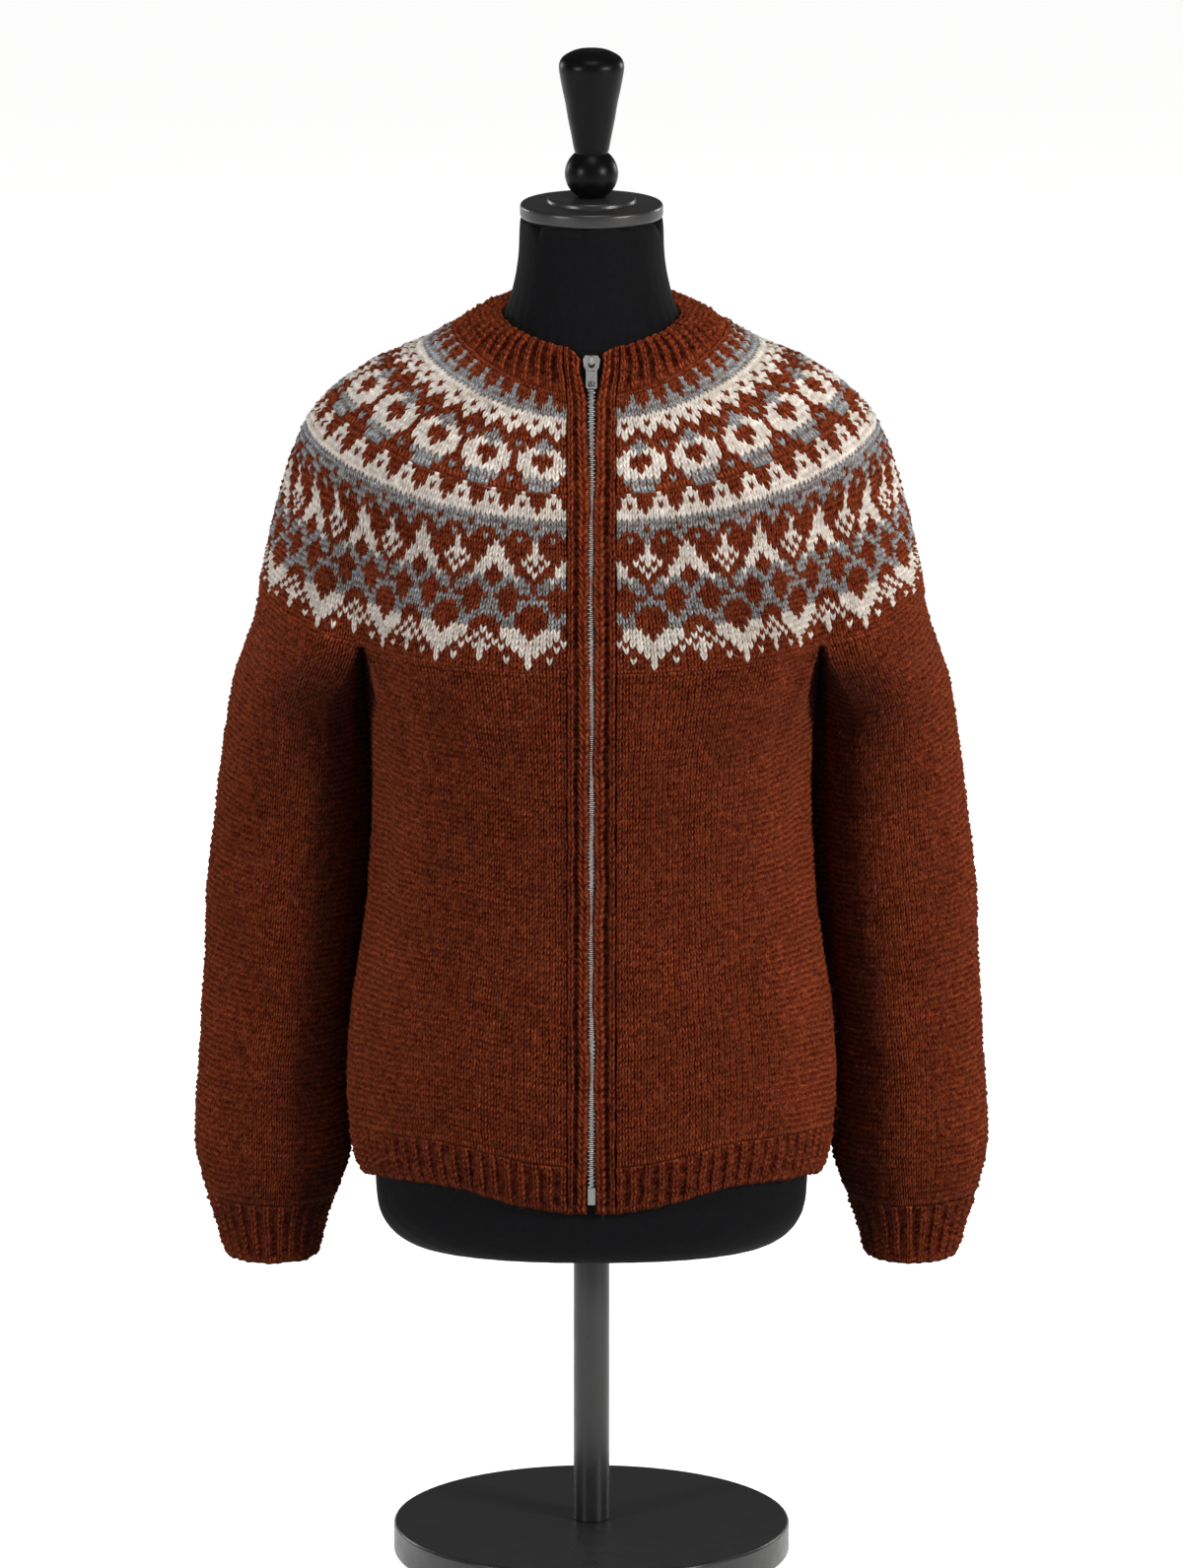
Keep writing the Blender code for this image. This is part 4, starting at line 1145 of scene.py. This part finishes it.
zipSettings = {
    "pitch": 0.00150,           # from one side's tooth to the other side's
    "tooth": (0.0044, 0.00085, 0.0018),     # width, height, depth
    "toothEdge": 0.00022,
    "sideShift": 0.0012,
    "depth": -0.0022,           # of the chain's middle, from the knit's surface
    "ripple": (0.40, 0.25),     # how far the teeth lean up or down, and sideways
    "sliderPlace": 0.0118,
    "sliderLength": 0.0120,
    "boxRise": 0.0070,
    "boxLength": 0.0140,
    "chainSteps": 260,
    "tapeWidth": 0.011,
    "tapeThickness": 0.0007,
    "tapeBehind": 0.0004,       # how far it lies behind the band
    "tapeInset": 0.0001,        # how far it shows past the band's inner edge
    "tapeEnds": (0.0095, 0.002),            # its distances from the zip's two ends
    "tapeSteps": 170,
}


def teethTree():
    # Sets teeth along a path, each pair shifted to its own side.
    nodes, given = newTree("zipTeeth", ("Object", "Tooth"), ("Float", "Pitch"),
                           ("Float", "Side Shift"))
    curve = nodes.add("GeometryNodeMeshToCurve", Mesh=given["Geometry"])
    even = nodes.add("GeometryNodeResampleCurve", mode="LENGTH", Curve=curve.outputs["Curve"],
                     Length=given["Pitch"])
    tooth = nodes.add("GeometryNodeObjectInfo", Object=given["Tooth"])
    turn = nodes.add("FunctionNodeAxesToRotation", primary_axis="Z", secondary_axis="Y", **{
        "Primary Axis": nodes.named("outward", "FLOAT_VECTOR"),
        "Secondary Axis": nodes.add("GeometryNodeInputTangent").outputs[0],
    })
    placed = nodes.add("GeometryNodeInstanceOnPoints", Points=even.outputs["Curve"],
                       Instance=tooth.outputs["Geometry"], Rotation=turn.outputs["Rotation"])
    odd = nodes.maths("MODULO", nodes.add("GeometryNodeInputIndex").outputs[0], 2.0)
    shift = nodes.maths("MULTIPLY", nodes.maths("SUBTRACT", odd, 0.5), given["Side Shift"])
    moved = nodes.add("GeometryNodeTranslateInstances", Instances=placed.outputs["Instances"],
                      Translation=nodes.add("ShaderNodeCombineXYZ", X=shift).outputs["Vector"])
    return closeTree(nodes, moved.outputs["Instances"], given["Material"])


def toothMesh():
    mesh = bpy.data.meshes.new("tooth")
    form = bmesh.new()
    bmesh.ops.create_cube(form, size=1.0)
    bmesh.ops.scale(form, vec=zipSettings["tooth"], verts=form.verts)
    bmesh.ops.bevel(form, geom=form.edges[:], offset=zipSettings["toothEdge"], segments=1,
                    affect="EDGES", profile=0.5, clamp_overlap=True)
    form.to_mesh(mesh)
    form.free()
    mesh.shade_smooth()
    return mesh


def makeTeeth():
    start = zipSettings["sliderPlace"] + zipSettings["sliderLength"] / 2 - 0.0015
    end = frontLength - zipSettings["boxRise"] - zipSettings["boxLength"] + 0.001
    downs = np.linspace(start, end, zipSettings["chainSteps"])
    outward = np.array([frontNormal(down) for down in downs])
    points = np.array([frontPoint(down, 0.0) for down in downs]) + outward * zipSettings["depth"]
    # The chain ripples a little with the knit, so its teeth catch the light unevenly.
    tilt, turn = zipSettings["ripple"]
    leaning = outward.copy()
    leaning[:, 2] += tilt * (np.sin(44.0 * downs + 0.6) + 0.5 * np.sin(97.0 * downs))
    leaning[:, 0] += turn * np.sin(29.0 * downs + 2.0)
    leaning /= np.linalg.norm(leaning, axis=1)[:, None]
    path = bpy.data.meshes.new("zipTeeth")
    path.from_pydata(points.tolist(), [(k, k + 1) for k in range(len(points) - 1)], [])
    made = path.attributes.new("outward", "FLOAT_VECTOR", "POINT")
    made.data.foreach_set("vector", leaning.astype(np.float32).ravel())
    teeth = addPiece("zipTeeth", path)
    tooth = addPiece("tooth", toothMesh())
    runTree(teeth, teethTree(), {
        "Tooth": tooth,
        "Pitch": zipSettings["pitch"],
        "Side Shift": zipSettings["sideShift"],
        "Material": zipMetal,
    })
    bpy.data.objects.remove(tooth, do_unlink=True)
    putOnBody(teeth, "zip_chain")
    print("zipTeeth:", trianglesIn(teeth), "triangles")


def makeTapePiece(side, label):
    # A woven strip under the band, its edge just in sight beside the chain.
    top = -(sizes["bandDepth"] + sizes["seam"]) - zipSettings["tapeBehind"]
    low = top - zipSettings["tapeThickness"]
    start, end = zipSettings["tapeEnds"]
    points = []
    across = np.linspace(0.0, 1.0, 5) * zipSettings["tapeWidth"]
    for down in np.linspace(start, frontLength - end, zipSettings["tapeSteps"]):
        surface = frontRow(down, innerEdge(down) - zipSettings["tapeInset"] + across)
        surface[:, 0] *= side
        outward = frontNormal(down)
        points += [*(surface + outward * top), *(surface + outward * low)[::-1]]
    around = 2 * len(across)
    faces = [(row + k, row + (k + 1) % around, row + around + (k + 1) % around, row + around + k)
             for row in range(0, len(points) - around, around) for k in range(around)]
    faces += [tuple(range(around - 1, -1, -1)), tuple(range(len(points) - around, len(points)))]
    mesh = bpy.data.meshes.new("zipTape" + label)
    mesh.from_pydata([tuple(p) for p in points], [], faces)
    form = bmesh.new()
    form.from_mesh(mesh)
    bmesh.ops.recalc_face_normals(form, faces=form.faces[:])
    form.to_mesh(mesh)
    form.free()
    mesh.materials.append(zipTape)
    putOnBody(addPiece(mesh.name, mesh), "zip_tape_" + label.lower())


makeTeeth()
for side, label in sides:
    makeTapePiece(side, label)
print("the zip is made")

# Wool fuzz: short fibres standing off the knit.

fuzzSettings = {
    "density": 9000.0,          # fibres to a square metre
    "length": 0.0062,
    "radius": 0.00007,
    "tilt": 1.30,
}


def fuzzTree():
    nodes, given = newTree("woolFuzz", ("Float", "Density"), ("Float", "Fibre Length"),
                           ("Float", "Fibre Radius"), ("Float", "Tilt"), ("Int", "Seed"))
    points = nodes.add(
        "GeometryNodeDistributePointsOnFaces", Mesh=given["Geometry"], Density=given["Density"],
        Seed=given["Seed"],
        Selection=nodes.maths("GREATER_THAN", nodes.named("outside", "FLOAT"), 0.5)).outputs
    fibre = nodes.add("GeometryNodeMeshCone", Vertices=3, Depth=given["Fibre Length"], **{
        "Radius Top": 0.0, "Radius Bottom": given["Fibre Radius"]})
    tilt = given["Tilt"]
    back = nodes.maths("MULTIPLY", tilt, -1.0)
    turn = nodes.add("FunctionNodeRandomValue", data_type="FLOAT_VECTOR",
                     Min=nodes.add("ShaderNodeCombineXYZ", X=back, Y=back, Z=0.0).outputs[0],
                     Max=nodes.add("ShaderNodeCombineXYZ", X=tilt, Y=tilt, Z=6.283).outputs[0])
    euler = nodes.add("FunctionNodeEulerToRotation", turn.outputs[0])
    rotate = nodes.add("FunctionNodeRotateRotation", points["Rotation"], euler.outputs[0],
                       rotation_space="LOCAL")
    grow = nodes.add("FunctionNodeRandomValue", data_type="FLOAT")
    nodes.feed(grow, {2: 0.45, 3: 1.5})
    placed = nodes.add("GeometryNodeInstanceOnPoints", Points=points["Points"],
                       Instance=fibre.outputs["Mesh"], Rotation=rotate.outputs[0],
                       Scale=grow.outputs[1])
    return closeTree(nodes, placed.outputs["Instances"], given["Material"])


def makeFuzzOn(knits):
    tree = fuzzTree()
    total = 0
    for number, knit in enumerate(knits):
        fuzz = addPiece(knit.name.replace("Knit", "Fuzz"), knit.data.copy())
        runTree(fuzz, tree, {
            "Density": fuzzSettings["density"],
            "Fibre Length": fuzzSettings["length"],
            "Fibre Radius": fuzzSettings["radius"],
            "Tilt": fuzzSettings["tilt"],
            "Seed": 40 + number,
            "Material": fibre,
        })
        total += trianglesIn(fuzz)
        putOnBody(fuzz)
    print("wool fuzz:", total, "triangles")


makeFuzzOn([piece for piece in scene.objects if "Knit" in piece.name])

# Stand: turned parts.

standSettings = {
    "around": 96,
    "baseRadius": 0.145,
    "baseHeight": 0.024,
    "edge": 0.003,
    "poleRadius": 0.01315,
    "formBottom": 0.236,
    "capLow": 0.9953,
    "capRadius": 0.0515,
    "capHeight": 0.0150,
    "bevel": 0.0006,
    "ball": 0.0192,
    "ballHeight": 1.0272,
}
finialProfile = (               # radius and height
    (0.0000, 1.1180), (0.0100, 1.1172), (0.0170, 1.1145), (0.0220, 1.1105), (0.0236, 1.1055),
    (0.0230, 1.1000), (0.0210, 1.0890), (0.0187, 1.0780), (0.0167, 1.0660), (0.0145, 1.0550),
    (0.0127, 1.0450),
)


def arc(radius, height, size, start, end, steps):
    turn = np.radians(np.linspace(start, end, steps + 1))
    return list(zip(radius + size * np.cos(turn), height + size * np.sin(turn)))


def turnedPiece(name, node, profile, look):
    # A profile of (radius, height) from top to bottom, both ends on the axis.
    around = standSettings["around"]
    ring = np.arange(around) * 2 * math.pi / around
    points = [(0.0, 0.0, profile[0][1])]
    for radius, height in profile[1:-1]:
        points += list(zip(radius * np.cos(ring), radius * np.sin(ring), [height] * around))
    points.append((0.0, 0.0, profile[-1][1]))
    lastRing = 1 + (len(profile) - 3) * around
    faces = []
    for k in range(around):
        after = (k + 1) % around
        faces.append((0, 1 + k, 1 + after))
        faces += [(top + k, top + around + k, top + around + after, top + after)
                  for top in range(1, lastRing, around)]
        faces.append((len(points) - 1, lastRing + after, lastRing + k))
    mesh = bpy.data.meshes.new(name)
    mesh.from_pydata(points, [], faces)
    mesh.shade_smooth()
    mesh.set_sharp_from_angle(angle=math.radians(38))
    mesh.materials.append(look)
    putOnBody(addPiece(name, mesh), node)


def makeStand():
    p = standSettings
    radius, height, edge = p["baseRadius"], p["baseHeight"], p["edge"]
    turnedPiece("standBase", "base", [
        (0.0, height), (0.03, height), *arc(radius - edge, height - edge, edge, 90, 0, 8),
        *arc(radius - edge, edge, edge, 0, -90, 6), (0.0, 0.0)], blackPaint)
    top, low = p["formBottom"] - sizes["seam"], height + sizes["seam"]
    bevel = p["bevel"]
    turnedPiece("standPole", "pole", [
        (0.0, top), *arc(p["poleRadius"] - bevel, top - bevel, bevel, 90, 0, 3),
        *arc(p["poleRadius"] - bevel, low + bevel, bevel, 0, -90, 3), (0.0, low)], blackPaint)
    low, radius = p["capLow"], p["capRadius"]
    turnedPiece("neckCap", "neck_cap", [
        (0.0, low + p["capHeight"]), *arc(0.0295, low + 0.0125, 0.0025, 90, 0, 6),
        (0.0322, low + 0.0116), (0.0330, low + 0.0110),
        *arc(radius - edge, low + 0.0080, edge, 90, 0, 7),
        *arc(radius - edge, low + 0.0030, edge, 0, -90, 7), (0.0, low)], blackPaint)
    rough = np.array(finialProfile)
    along = lengths(rough)
    fine = np.linspace(0.0, along[-1], 34)
    upper = zip(smooth(along, rough[:, 0], fine), smooth(along, rough[:, 1], fine))
    bottom = low + p["capHeight"] + sizes["seam"]
    start = math.degrees(math.asin(-(p["ballHeight"] - bottom) / p["ball"]))
    turnedPiece("turnedFinial", "finial", [
        *upper, *arc(0.0, p["ballHeight"], p["ball"], 52, start, 18), (0.0, bottom)], finialPaint)


makeStand()
print("the stand is made")

# Carried-over parts.

for node in ("form", "zip_box", "zip_slider", "zip_pull"):
    piece = frame["nodes"][node]
    piece.data.materials.clear()
    piece.data.materials.append(formCloth if node == "form" else sliderMetal)
    weld = piece.modifiers.new("joined", "WELD")
    weld.merge_threshold = 0.00001
    if node == "form":
        fine = piece.modifiers.new("smoothForm", "SUBSURF")
        fine.levels = fine.render_levels = 2
    else:
        edge = piece.modifiers.new("roundedEdges", "BEVEL")
        edge.width = 0.00026
        edge.segments = 2
        edge.limit_method = "ANGLE"
        edge.angle_limit = math.radians(40)

# What each piece of cloth was knitted or cut to, flat.

def meanWidth(rowAt, shares):
    return float(np.mean([lengths(rowAt(share, np.linspace(0.0, 1.0, 200)))[-1]
                          for share in shares]))


# Ribs lie narrower than they are when pulled flat, and the neckband is smaller at its top.
ribFlat = {"neck": 1.76, "cuff": 1.08, "band": 1.25}
neckWide = ribFlat["neck"] * lengths(yokeCourse(neckbandEnd))[-1]
bodyWide = meanWidth(bodyRow, (0.1, 0.3, 0.5, 0.7, 0.88))
hemWide = 2 * meanWidth(bodyRow, (0.95,))
sleeveWide = meanWidth(sleeveRow, (0.1, 0.3, 0.5, 0.7, 0.85))
cuffWide = ribFlat["cuff"] * meanWidth(sleeveRow, (0.96,))
bandWide = ribFlat["band"] * (sizes["bandOuter"] - sizes["bandInner"])

sheets = (
    # piece, width, length or None for its plain area over its width, held, what carries it
    ("yokeKnit", yokeEnd - neckbandEnd, 2 * lastLength, "draped", ("form",)),
    ("neckbandKnit", neckbandEnd, neckWide, "draped", ("form", "yokeKnit")),
    ("bodyKnit*", bodyWide, None, "hung", ("yokeKnit",)),
    ("hemKnit", sizes["hemRibHeight"], hemWide, "hung", ("bodyKnitLeft", "bodyKnitRight")),
    ("sleeveKnit*", sleeveWide, None, "hung", ("yokeKnit",)),
    ("cuffKnit*", sizes["cuffHeight"], cuffWide, "hung", ("sleeveKnit*",)),
    ("frontBandKnit*", bandWide, frontLength, "hung", ("yokeKnit", "bodyKnit*")),
    ("zipTape*", zipSettings["tapeWidth"], frontLength - 0.004, "hung", ("frontBandKnit*",)),
)
for pattern, width, length, held, carriers in sheets:
    for side in ("Left", "Right") if "*" in pattern else ("",):
        name = pattern.replace("*", side)
        tuple(carrier.replace("*", side) for carrier in carriers)
